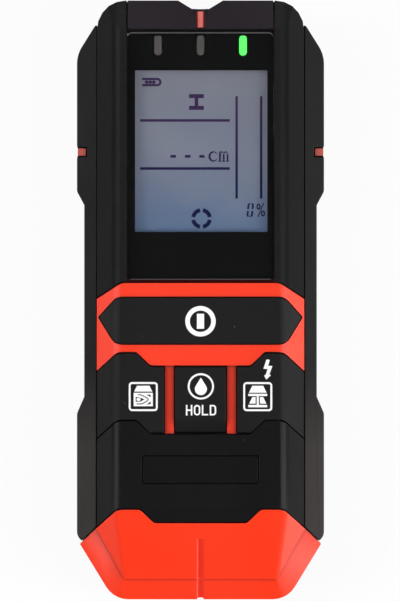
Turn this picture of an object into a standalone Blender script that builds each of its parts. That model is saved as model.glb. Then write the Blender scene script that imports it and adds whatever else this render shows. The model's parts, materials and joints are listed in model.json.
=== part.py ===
# Hand-held wall scanner: display, indicator lights, four buttons and a battery bay, lying on its back.
# Metres. X runs to the right of the display, Y towards the display end, Z out of the face.
import math

import bmesh
import bpy
from mathutils import Matrix, Vector

for leftover in list(bpy.data.objects):
    bpy.data.objects.remove(leftover, do_unlink=True)

# Clearance between neighbouring pieces
FIT = 0.0003
SEAM_FIT = 0.0004

# Case: split line and walls
SPLIT_HEIGHT = 0.0133
PAD_DROP = 0.0008
WALL = 0.002
FLOOR = 0.0028
SKIN = 0.002
GRIP_WALL = 0.0027
COVER_INSET = 0.001
COVER_CHAMFER = 0.002

# Raised body across the case: flat face, rounded crease, sloping flank
RAIL_WIDTH = 0.0034
FLANK_WIDTH = 0.0056
BAND_WIDTH = 0.0053
FLANK_DROP = 0.007
CREASE_RADIUS = 0.004
BAND_FALL = 0.0022
BAND_STEP = 0.0004

# Outline along the case
SHOULDER_CUT = 0.0095
SHOULDER_RADIUS = 0.006
SHOULDER_LENGTH = 0.0149
SIDE_RADIUS = 0.009
RAIL_RADIUS = 0.0082
WAIST_DEPTH = 0.00205
WAIST_TOP = 0.0268
WAIST_TOP_RUN = 0.0038
WAIST_BOTTOM = 0.027
WAIST_BOTTOM_RUN = 0.0047
NOSE_CORNER_LENGTH = 0.017
NOSE_CORNER_CUT = 0.0103
NOSE_CORNER_RADIUS = 0.0073
GRIP_END_LENGTH = 0.0176
GRIP_END_CUT = 0.0007
GRIP_END_RADIUS = 0.003

# Faces that slope away at the two ends
TOP_SLOPE_LENGTH = 0.008
TOP_SLOPE_DROP = 0.003
NOSE_LENGTH = 0.0255
NOSE_FOOT_LENGTH = 0.0058
NOSE_FOOT_CUT = 0.0023
NOSE_DROP = 0.0086
NOSE_STEP = 0.0005
NOSE_CREASE_RADIUS = 0.004
FLANGE_SIDE_DROP = 0.0098
FLANGE_END_DROP = 0.0109
NOSE_GROOVE_WIDTH = 0.0021
NOSE_GROOVE_DEPTH = 0.0005
NOSE_GROOVE_LENGTH = 0.0171

# Stepped seams that cross the face
STEP_DROP = 0.0038
STEP_RUN = 0.0039
STEP_RADIUS = 0.0016
SEAM_SWEEP = 0.0056
TIP_FALL = 0.0051
SEAM_RADIUS = 0.004
SEAM_BEND_CUT = 0.0005
SEAM_INNER = 0.014
NOSE_SEAM_INNER = 0.013

# Display window and the parts behind it
LENS_BORDER = 0.0017
LENS_FOOT = 0.0131
LENS_MARGIN = 0.0082
LENS_THICKNESS = 0.0016
LENS_RADIUS = 0.0008
MASK_THICKNESS = 0.0005
MASK_INSET = 0.001
VIEW_WIDTH = 0.0374
VIEW_LENGTH = 0.0452
VIEW_MARGIN = 0.0114
LCD_BORDER = 0.0015
LCD_TAB = 0.0027
LCD_THICKNESS = 0.0017
BACKLIGHT_THICKNESS = 0.0015
WINDOW_PLAY = 0.0005
FRAME_WALL = 0.0009
LAMP_SPACING = 0.0119
LAMP_MARGIN = 0.0044
LAMP_WIDTH = 0.0021
LAMP_LENGTH = 0.0056
LAMP_END_FLAT = 0.0001
LED_WIDTH = 0.0016
LED_LENGTH = 0.0032
LED_HEIGHT = 0.0014

# Keypad
RING_GAP = 0.0012
RING_CUT = 0.0017
RING_RADIUS = 0.004
RING_SWEEP = 0.0045
RING_BORDER = 0.0041
POWER_HEIGHT = 0.0129
POWER_TIP_CUT = 0.001
POWER_TIP_DROP = 0.0055
POWER_TOP_CUT = 0.0004
POWER_RADIUS = 0.0036
POWER_TIP_RADIUS = 0.0004
RING_BRIDGE = 0.0027
MODE_HEIGHT = 0.0189
PANEL_LENGTH = 0.0248
RIB_INNER = 0.00745
RIB_WIDTH = 0.0025
RIB_SINK = 0.0008
HOLD_LIP = 0.0038
HOLD_LIP_DROP = 0.0016
CAP_PROUD = 0.00035
CAP_CLEARANCE = 0.0011
POST_DIAMETER = 0.004
POST_CLEARANCE = 0.0005
MODE_POST_OFFSET = 0.016
SWITCH_SIZE = 0.006
SWITCH_HEIGHT = 0.003
PLUNGER_DIAMETER = 0.003
PLUNGER_REACH = 0.0011
PLUNGER_DEPTH = 0.0009
SWITCH_WELL = 0.0018

# Red sighting marks
MARK_WIDTH = 0.0016
MARK_LENGTH = 0.0046
MARK_START = 0.0002
MARK_SINK = 0.0003
MARK_DEPTH = 0.0012
SLOT_DEPTH = 0.0015
DIP_HALF = 0.0063
DIP_FLOOR_HALF = 0.0024
DIP_DEPTH = 0.0024
DIP_SIDE = 0.0042
DIP_SINK = 0.0009
SIDE_MARK_WIDTH = 0.002
SIDE_MARK_DEPTH = 0.0025
SIDE_MARK_MARGIN = 0.0423
SIDE_MARK_SINK = 0.0002

# Plate set into the lower panel
PLATE_WIDTH = 0.0321
PLATE_LENGTH = 0.0075
PLATE_RADIUS = 0.0005
PLATE_THICKNESS = 0.0008
PLATE_OFFSET = 0.0026

# Main board and what it carries
BOARD_MARGIN = 0.0008
BOARD_THICKNESS = 0.0016
BOARD_TOP_MARGIN = 0.0085
BOARD_TAIL = 0.0068
BOARD_GAP = 0.0016
CHIP_SIZE = 0.01
CHIP_HEIGHT = 0.0014
BUZZER_DIAMETER = 0.012
BUZZER_HEIGHT = 0.006
BUZZER_X = 0.013
BUZZER_Y = 0.01
BOARD_SCREW_MARGIN = 0.0025

# Sensors on the floor of the back cover
SENSOR_WIDTH = 0.044
SENSOR_LENGTH = 0.046
SENSOR_THICKNESS = 0.0012
SENSOR_LIFT = 0.001
SENSOR_POST_DIAMETER = 0.004
SENSOR_POST_INSET = 0.003
STUD_PLATE_WIDTH = 0.013
STUD_PLATE_LENGTH = 0.04
STUD_PLATE_THICKNESS = 0.0004
STUD_PLATE_GAP = 0.006
COIL_RADIUS = 0.015
COIL_BAND = 0.004
COIL_HEIGHT = 0.002
LINK_WIDTH = 0.014
LINK_DEPTH = 0.0026
LINK_MARGIN = 0.002
MOISTURE_WIDTH = 0.03
MOISTURE_LENGTH = 0.009
MOISTURE_THICKNESS = 0.0005
MOISTURE_MARGIN = 0.008

# Nine volt block, its bay, its door and its snap connector
BATTERY_WIDTH = 0.0265
BATTERY_DEPTH = 0.0175
BATTERY_LENGTH = 0.0459
BATTERY_CORNER = 0.002
STUD_DIAMETER = 0.008
STUD_HEIGHT = 0.0026
STUD_SPACING = 0.0127
CONNECTOR_WIDTH = 0.025
CONNECTOR_DEPTH = 0.013
CONNECTOR_THICKNESS = 0.0044
LEAD_DIAMETER = 0.0014
LEAD_SPACING = 0.008
LEAD_REACH = 0.0115
LEAD_SLACK = 0.0045
BAY_PLAY = 0.0004
BAY_WALL = 0.0013
BAY_HEIGHT = 0.0115
BAY_MARGIN = 0.003
BAY_NOTCH = 0.014
BAY_NOTCH_HEIGHT = 0.005
DOOR_LEDGE = 0.0021
DOOR_THICKNESS = 0.0014
TRUNNION_DIAMETER = 0.001
TRUNNION_LENGTH = 0.0009
THUMB_WIDTH = 0.012
THUMB_LENGTH = 0.005
THUMB_MARGIN = 0.0025
THUMB_DEPTH = 0.0006

# Screws and glide pads
SCREW_DIAMETER = 0.0026
SCREW_HEAD_DIAMETER = 0.005
SCREW_HEAD_HEIGHT = 0.0016
SCREW_SINK = 0.0006
CROSS_LENGTH = 0.0032
CROSS_WIDTH = 0.00065
CASE_SCREW_CUT = 0.0029
CASE_SCREW_TOP_MARGIN = 0.018
CASE_SCREW_BOTTOM_MARGIN = 0.028
CASE_SCREW_GRIP = 0.005
BOSS_WALL = 0.0015
BOARD_SCREW_GRIP = 0.0035
PAD_LENGTH = 0.012
PAD_WIDTH = 0.006
PAD_SEAT = 0.0006
PAD_RADIUS = 0.0015
PAD_SIDE_MARGIN = 0.0157
PAD_TOP_MARGIN = 0.0065
PAD_BOTTOM_MARGIN = 0.0095

# Stations across the case, from the display outwards
LENS_HALF = VIEW_WIDTH / 2 + LENS_BORDER
FACE_HALF = LENS_HALF + RAIL_WIDTH
BODY_HALF = FACE_HALF + FLANK_WIDTH
HALF_WIDTH = BODY_HALF + BAND_WIDTH
EDGE = BODY_HALF - FIT
RIB_OUTER = RIB_INNER + RIB_WIDTH
SEAM_BEND = FACE_HALF - SEAM_BEND_CUT
BOARD_HALF = FACE_HALF - BOARD_MARGIN
CASE_SCREW_X = BODY_HALF - CASE_SCREW_CUT
PAD_X = HALF_WIDTH - PAD_SIDE_MARGIN

# Stations along the case, from the top end down to the nose
LENS_LENGTH = VIEW_MARGIN + VIEW_LENGTH + LENS_FOOT
KEYPAD_LENGTH = RING_GAP + RING_BORDER + POWER_HEIGHT + RING_BRIDGE + MODE_HEIGHT
END = (LENS_MARGIN + LENS_LENGTH + KEYPAD_LENGTH + PANEL_LENGTH + NOSE_LENGTH) / 2
TOP_SLOPE_Y = END - TOP_SLOPE_LENGTH
LENS_TOP = END - LENS_MARGIN
LENS_BOTTOM = LENS_TOP - LENS_LENGTH
LAMP_Y = LENS_TOP - LAMP_MARGIN
VIEW_TOP = LENS_TOP - VIEW_MARGIN
VIEW_BOTTOM = VIEW_TOP - VIEW_LENGTH
SIDE_MARK_Y = END - SIDE_MARK_MARGIN
RING_TOP = LENS_BOTTOM - RING_GAP
POWER_TOP = RING_TOP - RING_BORDER
POWER_BOTTOM = POWER_TOP - POWER_HEIGHT
POWER_Y = (POWER_TOP + POWER_BOTTOM) / 2
MODE_TOP = POWER_BOTTOM - RING_BRIDGE
PANEL_TOP = MODE_TOP - MODE_HEIGHT
MODE_Y = (MODE_TOP + PANEL_TOP - STEP_DROP) / 2
NOSE_TOP = PANEL_TOP - PANEL_LENGTH
NOSE_FOOT = -END + NOSE_FOOT_LENGTH
PLATE_Y = (PANEL_TOP + NOSE_TOP) / 2 - STEP_DROP + PLATE_OFFSET
BOARD_END = END - BOARD_TOP_MARGIN
BOARD_START = PANEL_TOP - BOARD_TAIL
BAY_BOTTOM = NOSE_TOP + BAY_MARGIN
BATTERY_END = BAY_BOTTOM + BAY_PLAY + BATTERY_LENGTH
CONNECTOR_END = BATTERY_END + FIT + CONNECTOR_THICKNESS
BAY_TOP = CONNECTOR_END + LEAD_SLACK
BAY_HALF = BATTERY_WIDTH / 2 + BAY_PLAY
MOISTURE_Y = -END + MOISTURE_MARGIN + MOISTURE_LENGTH / 2

# Levels, from the surface it lies on up to the face
COVER_FLOOR = PAD_DROP + FLOOR
COVER_TOP = SPLIT_HEIGHT - FIT
MOISTURE_TOP = COVER_FLOOR + FIT + MOISTURE_THICKNESS
BATTERY_BOTTOM = PAD_DROP + DOOR_THICKNESS + FIT
BATTERY_TOP = BATTERY_BOTTOM + BATTERY_DEPTH
BATTERY_Z = (BATTERY_BOTTOM + BATTERY_TOP) / 2
BOARD_BOTTOM = BATTERY_TOP + BOARD_GAP
BOARD_TOP = BOARD_BOTTOM + BOARD_THICKNESS
LCD_BOTTOM = BOARD_TOP + FIT + BACKLIGHT_THICKNESS + FIT
LCD_TOP = LCD_BOTTOM + LCD_THICKNESS
CAVITY_TOP = LCD_TOP + FIT
SHELL_INSET = SKIN + FIT
CAVITY_INSET = SHELL_INSET + WALL + FIT
RECESS_INSET = SKIN + CAP_CLEARANCE
FACE_HEIGHT = CAVITY_TOP + CAVITY_INSET
SHELL_TOP = FACE_HEIGHT - SHELL_INSET
LENS_HEIGHT = SHELL_TOP + FIT
MASK_SEAT = SHELL_TOP - MASK_THICKNESS - FIT
FOOT_HEIGHT = FACE_HEIGHT - FLANK_DROP
BAND_INNER = FOOT_HEIGHT - BAND_STEP
BAND_OUTER = BAND_INNER - BAND_FALL
SKIRT_INSET = GRIP_WALL + FIT
SKIRT_TOP = BAND_OUTER - SKIRT_INSET
FLANK = Vector((FLANK_WIDTH, -FLANK_DROP)).normalized()


# Flat outlines

def mirrored(half):
    return half + [(-x, y, r) for x, y, r in reversed(half)]


# A corner (x, y, radius) becomes an arc of that radius, or stays sharp when the radius is 0.
def rounded(corners, steps=5):
    points = []
    for index, (x, y, radius) in enumerate(corners):
        here = Vector((x, y))
        if radius == 0:
            points.append(here)
            continue
        before = (Vector(corners[index - 1][:2]) - here).normalized()
        after = (Vector(corners[(index + 1) % len(corners)][:2]) - here).normalized()
        half_angle = before.angle(after) / 2
        reach = radius / math.tan(half_angle)
        centre = here + (before + after).normalized() * radius / math.sin(half_angle)
        start = here + before * reach - centre
        turn = (after * reach - before * reach).cross(start)
        sweep = math.pi - 2 * half_angle
        direction = -1 if turn > 0 else 1
        for step in range(steps + 1):
            angle = direction * sweep * step / steps
            points.append(centre + Matrix.Rotation(angle, 2) @ start)
    return points


# Moves every edge of a clockwise outline inwards by the same distance.
def inset(corners, distance):
    moved = []
    for index, (x, y, radius) in enumerate(corners):
        here = Vector((x, y))
        arrive = (here - Vector(corners[index - 1][:2])).normalized()
        leave = (Vector(corners[(index + 1) % len(corners)][:2]) - here).normalized()
        inward_arrive = Vector((arrive.y, -arrive.x))
        inward_leave = Vector((leave.y, -leave.x))
        bisector = (inward_arrive + inward_leave).normalized()
        shift = bisector * distance / bisector.dot(inward_leave)
        # Arcs round an outer corner shrink as the outline closes in, and round an inner corner they grow.
        outer_corner = arrive.cross(leave) < 0
        kept = radius - distance if outer_corner else radius + distance
        moved.append((x + shift.x, y + shift.y, max(kept, 0) if radius else 0))
    return moved


def rectangle(x0, y0, x1, y1, radius=0.0):
    return [(x0, y1, radius), (x1, y1, radius), (x1, y0, radius), (x0, y0, radius)]


def block_outline(width, length, y, x=0.0, radius=0.0):
    return rectangle(x - width / 2, y - length / 2, x + width / 2, y + length / 2, radius)


# Right side of the case seen from the front, from the top end down.
def case_side(top=END):
    return [
        (HALF_WIDTH - SHOULDER_CUT, top, SHOULDER_RADIUS),
        (HALF_WIDTH, END - SHOULDER_LENGTH, SIDE_RADIUS),
        (HALF_WIDTH, WAIST_TOP + WAIST_TOP_RUN, 0),
        (HALF_WIDTH - WAIST_DEPTH, WAIST_TOP, 0),
        (HALF_WIDTH - WAIST_DEPTH, -WAIST_BOTTOM, 0),
        (HALF_WIDTH, -WAIST_BOTTOM - WAIST_BOTTOM_RUN, 0),
        (HALF_WIDTH, -END + NOSE_CORNER_LENGTH, 0),
        (HALF_WIDTH - NOSE_CORNER_CUT, -END, NOSE_CORNER_RADIUS),
    ]


def case_outline(distance, top=END):
    return inset(mirrored(case_side(top)), distance)


# How far a seam has run back towards the nose where it crosses the flank.
def seam_fall(x):
    return SEAM_SWEEP * (x - SEAM_BEND) / (BODY_HALF - SEAM_BEND)


# Right half of a stepped seam, from the middle step out to the edge of the raised body.
def seam(y, inner):
    return [
        (inner, y - STEP_DROP, STEP_RADIUS),
        (inner + STEP_RUN, y, STEP_RADIUS),
        (SEAM_BEND, y, SEAM_RADIUS),
        (EDGE, y - seam_fall(EDGE), 0),
    ]


def ring_seam(y):
    return [(FACE_HALF - RING_CUT, y, RING_RADIUS), (EDGE, y - RING_SWEEP, 0)]


def between(upper, lower):
    return mirrored(upper + list(reversed(lower)))


# Solids

def new_object(name, mesh_builder):
    mesh = bpy.data.meshes.new(name)
    bmesh.ops.recalc_face_normals(mesh_builder, faces=mesh_builder.faces)
    mesh_builder.to_mesh(mesh)
    mesh_builder.free()
    piece = bpy.data.objects.new(name, mesh)
    bpy.context.scene.collection.objects.link(piece)
    return piece


# Joins closed loops of equally many points, one above the other, and closes both ends.
def loft(loops, name="shape"):
    builder = bmesh.new()
    rings = [[builder.verts.new(point) for point in loop] for loop in loops]
    count = len(rings[0])
    for lower, upper in zip(rings, rings[1:]):
        for index in range(count):
            following = (index + 1) % count
            builder.faces.new((lower[index], lower[following], upper[following], upper[index]))
    builder.faces.new(rings[0])
    builder.faces.new(rings[-1])
    return new_object(name, builder)


def slab(corners, bottom, top, name="shape"):
    outline = rounded(corners)
    return loft([[(p.x, p.y, z) for p in outline] for z in (bottom, top)], name)


def box(x0, y0, z0, x1, y1, z1, name="shape"):
    return slab(rectangle(x0, y0, x1, y1), z0, z1, name)


def hull(points, name="shape"):
    builder = bmesh.new()
    for point in points:
        builder.verts.new(point)
    result = bmesh.ops.convex_hull(builder, input=builder.verts)
    spare = [item for item in result["geom_interior"] if isinstance(item, bmesh.types.BMVert)]
    bmesh.ops.delete(builder, geom=spare, context="VERTS")
    bmesh.ops.dissolve_limit(builder, angle_limit=0.001, verts=builder.verts, edges=builder.edges)
    return new_object(name, builder)


def cylinder(x, y, z0, z1, diameter, name="shape", sides=24):
    loops = []
    for z in (z0, z1):
        turns = [math.tau * side / sides for side in range(sides)]
        loops.append([(x + diameter / 2 * math.cos(a), y + diameter / 2 * math.sin(a), z) for a in turns])
    return loft(loops, name)


# The same along another axis: "X" or "Y", from start to end.
def lying_cylinder(axis, start, end, across, height, diameter, name="shape", sides=24):
    loops = []
    for along in (start, end):
        loop = []
        for side in range(sides):
            angle = math.tau * side / sides
            offset = across + diameter / 2 * math.cos(angle)
            level = height + diameter / 2 * math.sin(angle)
            loop.append((along, offset, level) if axis == "X" else (offset, along, level))
        loops.append(loop)
    return loft(loops, name)


def combine(target, tools, operation):
    for tool in tools:
        step = target.modifiers.new(operation, "BOOLEAN")
        step.operation = operation
        step.solver = "EXACT"
        step.object = tool
        evaluated = target.evaluated_get(bpy.context.evaluated_depsgraph_get())
        result = bpy.data.meshes.new_from_object(evaluated)
        target.modifiers.clear()
        target.data = result
        bpy.data.objects.remove(tool, do_unlink=True)
    return target


def cut(target, *tools):
    return combine(target, tools, "DIFFERENCE")


def join(target, *tools):
    return combine(target, tools, "UNION")


def common(target, *tools):
    return combine(target, tools, "INTERSECT")


# A piece that moves has its origin on the axis that it turns about or slides along.
def set_origin(piece, x, y, z):
    piece.data.transform(Matrix.Translation((-x, -y, -z)))
    piece.location = (x, y, z)
    return piece


# Half of the body's cross-section in X and Z, closed in by the given distance.
# The upright side closes in too, unless the flank is to run on down to the body's full width.
def body_section(distance, low, full_width):
    inward = Vector((FLANK.y, -FLANK.x))
    flank_point = Vector((FACE_HALF, FACE_HEIGHT)) + inward * distance
    face = FACE_HEIGHT - distance
    side = BODY_HALF if full_width else BODY_HALF - distance
    crest = flank_point.x + (face - flank_point.y) * FLANK.x / FLANK.y
    foot = flank_point.y + (side - flank_point.x) * FLANK.y / FLANK.x
    radius = max(CREASE_RADIUS - distance, FIT)
    return [(crest, face, radius), (side, foot, 0), (side, low, 0)]


# Planes that end the body, as a point and a normal: the top end, the nose face and, on each side, the round
# corner of the top end, a facet of the nose with the round crease that leads to it, and the step at its foot.
def end_planes():
    start = NOSE_TOP + SEAM_FIT / 2
    crest = Vector((FACE_HALF, start - seam_fall(FACE_HALF), FACE_HEIGHT))
    foot = Vector((BODY_HALF, start - SEAM_SWEEP, FOOT_HEIGHT))
    tip = Vector((FACE_HALF - NOSE_FOOT_CUT, NOSE_FOOT, FACE_HEIGHT - NOSE_DROP))
    facet = (foot - crest).cross(tip - crest).normalized()
    if facet.x < 0:
        facet = -facet
    top = Vector((0, TOP_SLOPE_DROP, TOP_SLOPE_LENGTH)).normalized()
    nose = Vector((0, -NOSE_DROP, start - NOSE_FOOT)).normalized()
    facet_foot = Vector((foot.y - tip.y, tip.x - foot.x, 0)).normalized()
    planes = [(Vector((0, TOP_SLOPE_Y, FACE_HEIGHT)), top), (Vector((0, start, FACE_HEIGHT)), nose)]
    for point, normal in [(crest, facet), (foot, facet_foot)] + round_crease(tip, nose, facet) + round_corner():
        for side in (Vector((1, 1, 1)), Vector((-1, 1, 1))):
            planes.append((point * side, normal * side))
    return planes


# Upright planes that turn round the corner between the top end and the right side.
def round_corner(steps=4):
    axis_point = Vector((EDGE - RAIL_RADIUS, END - RAIL_RADIUS, FACE_HEIGHT))
    planes = []
    for step in range(1, steps):
        turn = math.pi / 2 * step / steps
        normal = Vector((math.cos(turn), math.sin(turn), 0))
        planes.append((axis_point + normal * RAIL_RADIUS, normal))
    return planes


# Planes that turn from one normal to another round a cylinder that lies against both of their planes.
def round_crease(edge_point, first, second, steps=4):
    middle = (first + second).normalized()
    axis_point = edge_point - middle * NOSE_CREASE_RADIUS / middle.dot(first)
    planes = []
    for step in range(1, steps):
        normal = first.slerp(second, step / steps)
        planes.append((axis_point + normal * NOSE_CREASE_RADIUS, normal))
    return planes


# The raised body as one convex solid, with every outer surface moved in by the given distance.
def envelope(distance, low, start=None, end=None, full_width=False):
    near = NOSE_FOOT - FIT if start is None else start
    far = END if end is None else end
    section = rounded(mirrored(body_section(distance, low, full_width)))
    builder = bmesh.new()
    rings = [[builder.verts.new((p.x, y, p.y)) for p in section] for y in (near, far)]
    for index in range(len(section)):
        following = (index + 1) % len(section)
        builder.faces.new((rings[0][index], rings[0][following], rings[1][following], rings[1][index]))
    builder.faces.new(rings[0])
    builder.faces.new(rings[1])
    bmesh.ops.recalc_face_normals(builder, faces=builder.faces)
    for point, normal in end_planes():
        everything = builder.verts[:] + builder.edges[:] + builder.faces[:]
        sunk = point - normal * distance
        result = bmesh.ops.bisect_plane(
            builder, geom=everything, dist=1e-7, plane_co=sunk, plane_no=normal, clear_outer=True)
        rim = [item for item in result["geom_cut"] if isinstance(item, bmesh.types.BMEdge)]
        if rim:
            bmesh.ops.edgeloop_fill(builder, edges=rim)
    return new_object("envelope", builder)


# Outer pieces

BELOW = SPLIT_HEIGHT - WALL
ABOVE = FACE_HEIGHT + WALL


# The room that the shell's skirt and its ledge take up, with a clearance.
def skirt_room():
    return slab(case_outline(GRIP_WALL), BELOW, SKIRT_TOP + FIT)


# A moulding of even thickness that follows the body's surface inside the given outline.
def overlay(name, corners):
    piece = common(envelope(0.0, SPLIT_HEIGHT), slab(corners, BELOW, ABOVE))
    cut(piece, envelope(SKIN, BELOW, end=END - GRIP_WALL), skirt_room())
    piece.name = name
    return piece


# What stands above a surface sunk by the given depth, inside an outline.
def recess(corners, depth):
    return cut(slab(corners, BELOW, ABOVE), envelope(depth, BELOW - WALL, full_width=True))


def grow(corners, distance):
    return inset(corners, -distance)


def turned_over(corners):
    return [(-x, y, r) for x, y, r in reversed(corners)]


def make_upper_bezel():
    pocket = LENS_HALF + FIT
    lower = ring_seam(RING_TOP + SEAM_FIT)
    rim = LENS_BOTTOM - FIT
    right = [(pocket, rim, LENS_RADIUS), (pocket, END, 0), (EDGE, END, RAIL_RADIUS)] + list(reversed(lower))
    return overlay("upper_bezel", mirrored(right))


# Two shallow facets that fall towards the centre mark and deepen towards the end of the case.
def centre_dip():
    share = (TOP_SLOPE_LENGTH + WALL) / TOP_SLOPE_LENGTH
    level = FACE_HEIGHT - TOP_SLOPE_DROP * share
    floor = level - DIP_SINK * share
    points = [(0, TOP_SLOPE_Y, FACE_HEIGHT), (0, TOP_SLOPE_Y, ABOVE), (0, END + WALL, floor)]
    for side in (-DIP_SIDE * share, DIP_SIDE * share):
        points += [(side, END + WALL, level), (side, END + WALL, ABOVE)]
    return hull(points)


def make_top_bridge():
    half = LENS_HALF
    foot = LENS_TOP + FIT
    right = [
        (DIP_FLOOR_HALF, END - DIP_DEPTH, 0),
        (DIP_HALF, END, 0),
        (half, END, 0),
        (half, foot, 0),
    ]
    bridge = overlay("top_bridge", mirrored(right))
    slot_half = MARK_WIDTH / 2 + FIT
    slot = rectangle(-slot_half, foot + MARK_START - FIT, slot_half, END + WALL)
    return cut(bridge, centre_dip(), recess(slot, SLOT_DEPTH))


def make_centre_marker():
    foot = LENS_TOP + FIT + MARK_START
    marker = envelope(MARK_SINK, BELOW)
    common(marker, slab(rectangle(-MARK_WIDTH / 2, foot, MARK_WIDTH / 2, foot + MARK_LENGTH), BELOW, ABOVE))
    cut(marker, envelope(MARK_DEPTH, BELOW - WALL))
    marker.name = "centre_marker"
    return marker


def make_lower_panel():
    upper = seam(PANEL_TOP, SEAM_INNER)
    lower = seam(NOSE_TOP + SEAM_FIT, NOSE_SEAM_INNER)
    panel = overlay("lower_panel", between(upper, lower))
    pocket = grow(plate_outline(), FIT)
    return cut(panel, recess(pocket, PLATE_THICKNESS + FIT))


def plate_outline():
    return block_outline(PLATE_WIDTH, PLATE_LENGTH, PLATE_Y, radius=PLATE_RADIUS)


def make_label_plate():
    return slab(plate_outline(), FACE_HEIGHT - PLATE_THICKNESS, FACE_HEIGHT, "label_plate")


# Where the seam above the nose, carried on past the body's edge, meets the slanting side of the nose.
def nose_tip(y):
    corner = Vector((HALF_WIDTH, -END + NOSE_CORNER_LENGTH))
    along = Vector((-NOSE_CORNER_CUT, -NOSE_CORNER_LENGTH))
    start = Vector((BODY_HALF, y - SEAM_SWEEP))
    across = Vector((BAND_WIDTH, -TIP_FALL))
    share = (start - corner).cross(across) / along.cross(across)
    return corner + along * share


# A side mark stands on a root that grows out of the skirt, and the grip is cut away round both.
def side_mark_blocks(sign, play, outer, low, top):
    half = SIDE_MARK_WIDTH / 2 + play
    root = HALF_WIDTH - SKIRT_INSET - FIT
    mark = HALF_WIDTH - SIDE_MARK_DEPTH
    blocks = []
    for inner, ceiling in ((root, SKIRT_TOP - FIT), (mark, top)):
        left, right = sorted((sign * (inner - play), sign * outer))
        blocks.append(box(left, SIDE_MARK_Y - half, low, right, SIDE_MARK_Y + half, ceiling + play))
    return blocks


def make_grip(name, sign):
    shoulder = END - SHOULDER_LENGTH * (SHOULDER_CUT - BAND_WIDTH) / SHOULDER_CUT
    tip = nose_tip(NOSE_TOP + SEAM_FIT) + GRIP_END_CUT * Vector((-1, TIP_FALL / BAND_WIDTH))
    right = [(BODY_HALF, shoulder, 0)]
    right += case_side()[1:-2]
    right += [(HALF_WIDTH, -END + GRIP_END_LENGTH, GRIP_END_RADIUS)]
    right += [(tip.x, tip.y, 0), (BODY_HALF, NOSE_TOP + SEAM_FIT - SEAM_SWEEP, 0)]
    corners = right if sign > 0 else turned_over(right)
    outline = rounded(corners)
    slope = BAND_FALL / BAND_WIDTH
    crown = [(p.x, p.y, BAND_INNER - slope * (abs(p.x) - BODY_HALF)) for p in outline]
    grip = loft([[(p.x, p.y, SPLIT_HEIGHT) for p in outline], crown], name)
    return cut(grip, skirt_room(), *side_mark_blocks(sign, FIT, HALF_WIDTH + WALL, BELOW, ABOVE))


def power_outline():
    right = [
        (FACE_HALF - POWER_TOP_CUT, POWER_TOP, POWER_RADIUS),
        (BODY_HALF - POWER_TIP_CUT, POWER_TOP - POWER_TIP_DROP, POWER_TIP_RADIUS),
        (FACE_HALF, POWER_BOTTOM, POWER_RADIUS),
    ]
    return mirrored(right)


def side_button_outline(sign):
    inner = RIB_OUTER + FIT
    upper = [(inner, MODE_TOP - STEP_DROP, 0)] + seam(MODE_TOP, SEAM_INNER)
    lower = [(inner, PANEL_TOP + SEAM_FIT - STEP_DROP, 0)] + seam(PANEL_TOP + SEAM_FIT, SEAM_INNER)
    right = upper + list(reversed(lower))
    return right if sign > 0 else turned_over(right)


def hold_outline():
    half = RIB_INNER - FIT
    return rectangle(-half, PANEL_TOP + SEAM_FIT - STEP_DROP, half, MODE_TOP - STEP_DROP)


SWITCH_TOP = BOARD_TOP + FIT + SWITCH_HEIGHT
POST_BOTTOM = SWITCH_TOP + PLUNGER_REACH + FIT
BUTTONS = {
    "power": (0.0, POWER_Y),
    "wood": (-MODE_POST_OFFSET, MODE_Y),
    "hold": (0.0, MODE_Y),
    "metal": (MODE_POST_OFFSET, MODE_Y),
}


def make_button(name):
    x, y = BUTTONS[name]
    outlines = {
        "power": power_outline(),
        "wood": side_button_outline(-1),
        "hold": hold_outline(),
        "metal": side_button_outline(1),
    }
    cap = common(envelope(-CAP_PROUD, BELOW, full_width=True), slab(outlines[name], SPLIT_HEIGHT, ABOVE))
    cut(cap, envelope(SKIN, BELOW - WALL, full_width=True))
    cap.name = name + "_button"
    if name == "hold":
        foot = PANEL_TOP + SEAM_FIT - STEP_DROP
        crest = FACE_HEIGHT + CAP_PROUD
        half = RIB_INNER
        wedge = []
        for side in (-half, half):
            wedge += [(side, foot + HOLD_LIP, crest), (side, foot - WALL, crest + WALL)]
            wedge += [(side, foot - WALL, crest - HOLD_LIP_DROP * (HOLD_LIP + WALL) / HOLD_LIP)]
        cut(cap, hull(wedge))
    join(cap, cylinder(x, y, POST_BOTTOM, FACE_HEIGHT - SKIN / 2, POST_DIAMETER))
    return set_origin(cap, x, y, POST_BOTTOM)


def make_switch(name):
    x, y = BUTTONS[name]
    body = slab(block_outline(SWITCH_SIZE, SWITCH_SIZE, y, x), BOARD_TOP + FIT, SWITCH_TOP, "switch_" + name)
    return cut(body, cylinder(x, y, SWITCH_TOP - SWITCH_WELL, SWITCH_TOP + WALL, PLUNGER_DIAMETER + 2 * FIT))


def make_plunger(name):
    x, y = BUTTONS[name]
    bottom = SWITCH_TOP - SWITCH_WELL + PLUNGER_DEPTH
    plunger = cylinder(x, y, bottom, SWITCH_TOP + PLUNGER_REACH, PLUNGER_DIAMETER, "plunger_" + name)
    return set_origin(plunger, x, y, bottom)


# Front shell

CASE_SCREWS = [
    (sign * CASE_SCREW_X, y)
    for y in (END - CASE_SCREW_TOP_MARGIN, -END + CASE_SCREW_BOTTOM_MARGIN)
    for sign in (-1, 1)
]
BOARD_SCREWS = [
    (sign * (BOARD_HALF - BOARD_SCREW_MARGIN), y)
    for y in (RING_TOP - BOARD_SCREW_MARGIN, BOARD_START + BOARD_SCREW_MARGIN)
    for sign in (-1, 1)
]
CASE_SCREW_TOP = SPLIT_HEIGHT + CASE_SCREW_GRIP
BOARD_SCREW_TOP = BOARD_TOP + BOARD_SCREW_GRIP
BOSS_DIAMETER = SCREW_DIAMETER + 2 * (FIT + BOSS_WALL)


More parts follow.
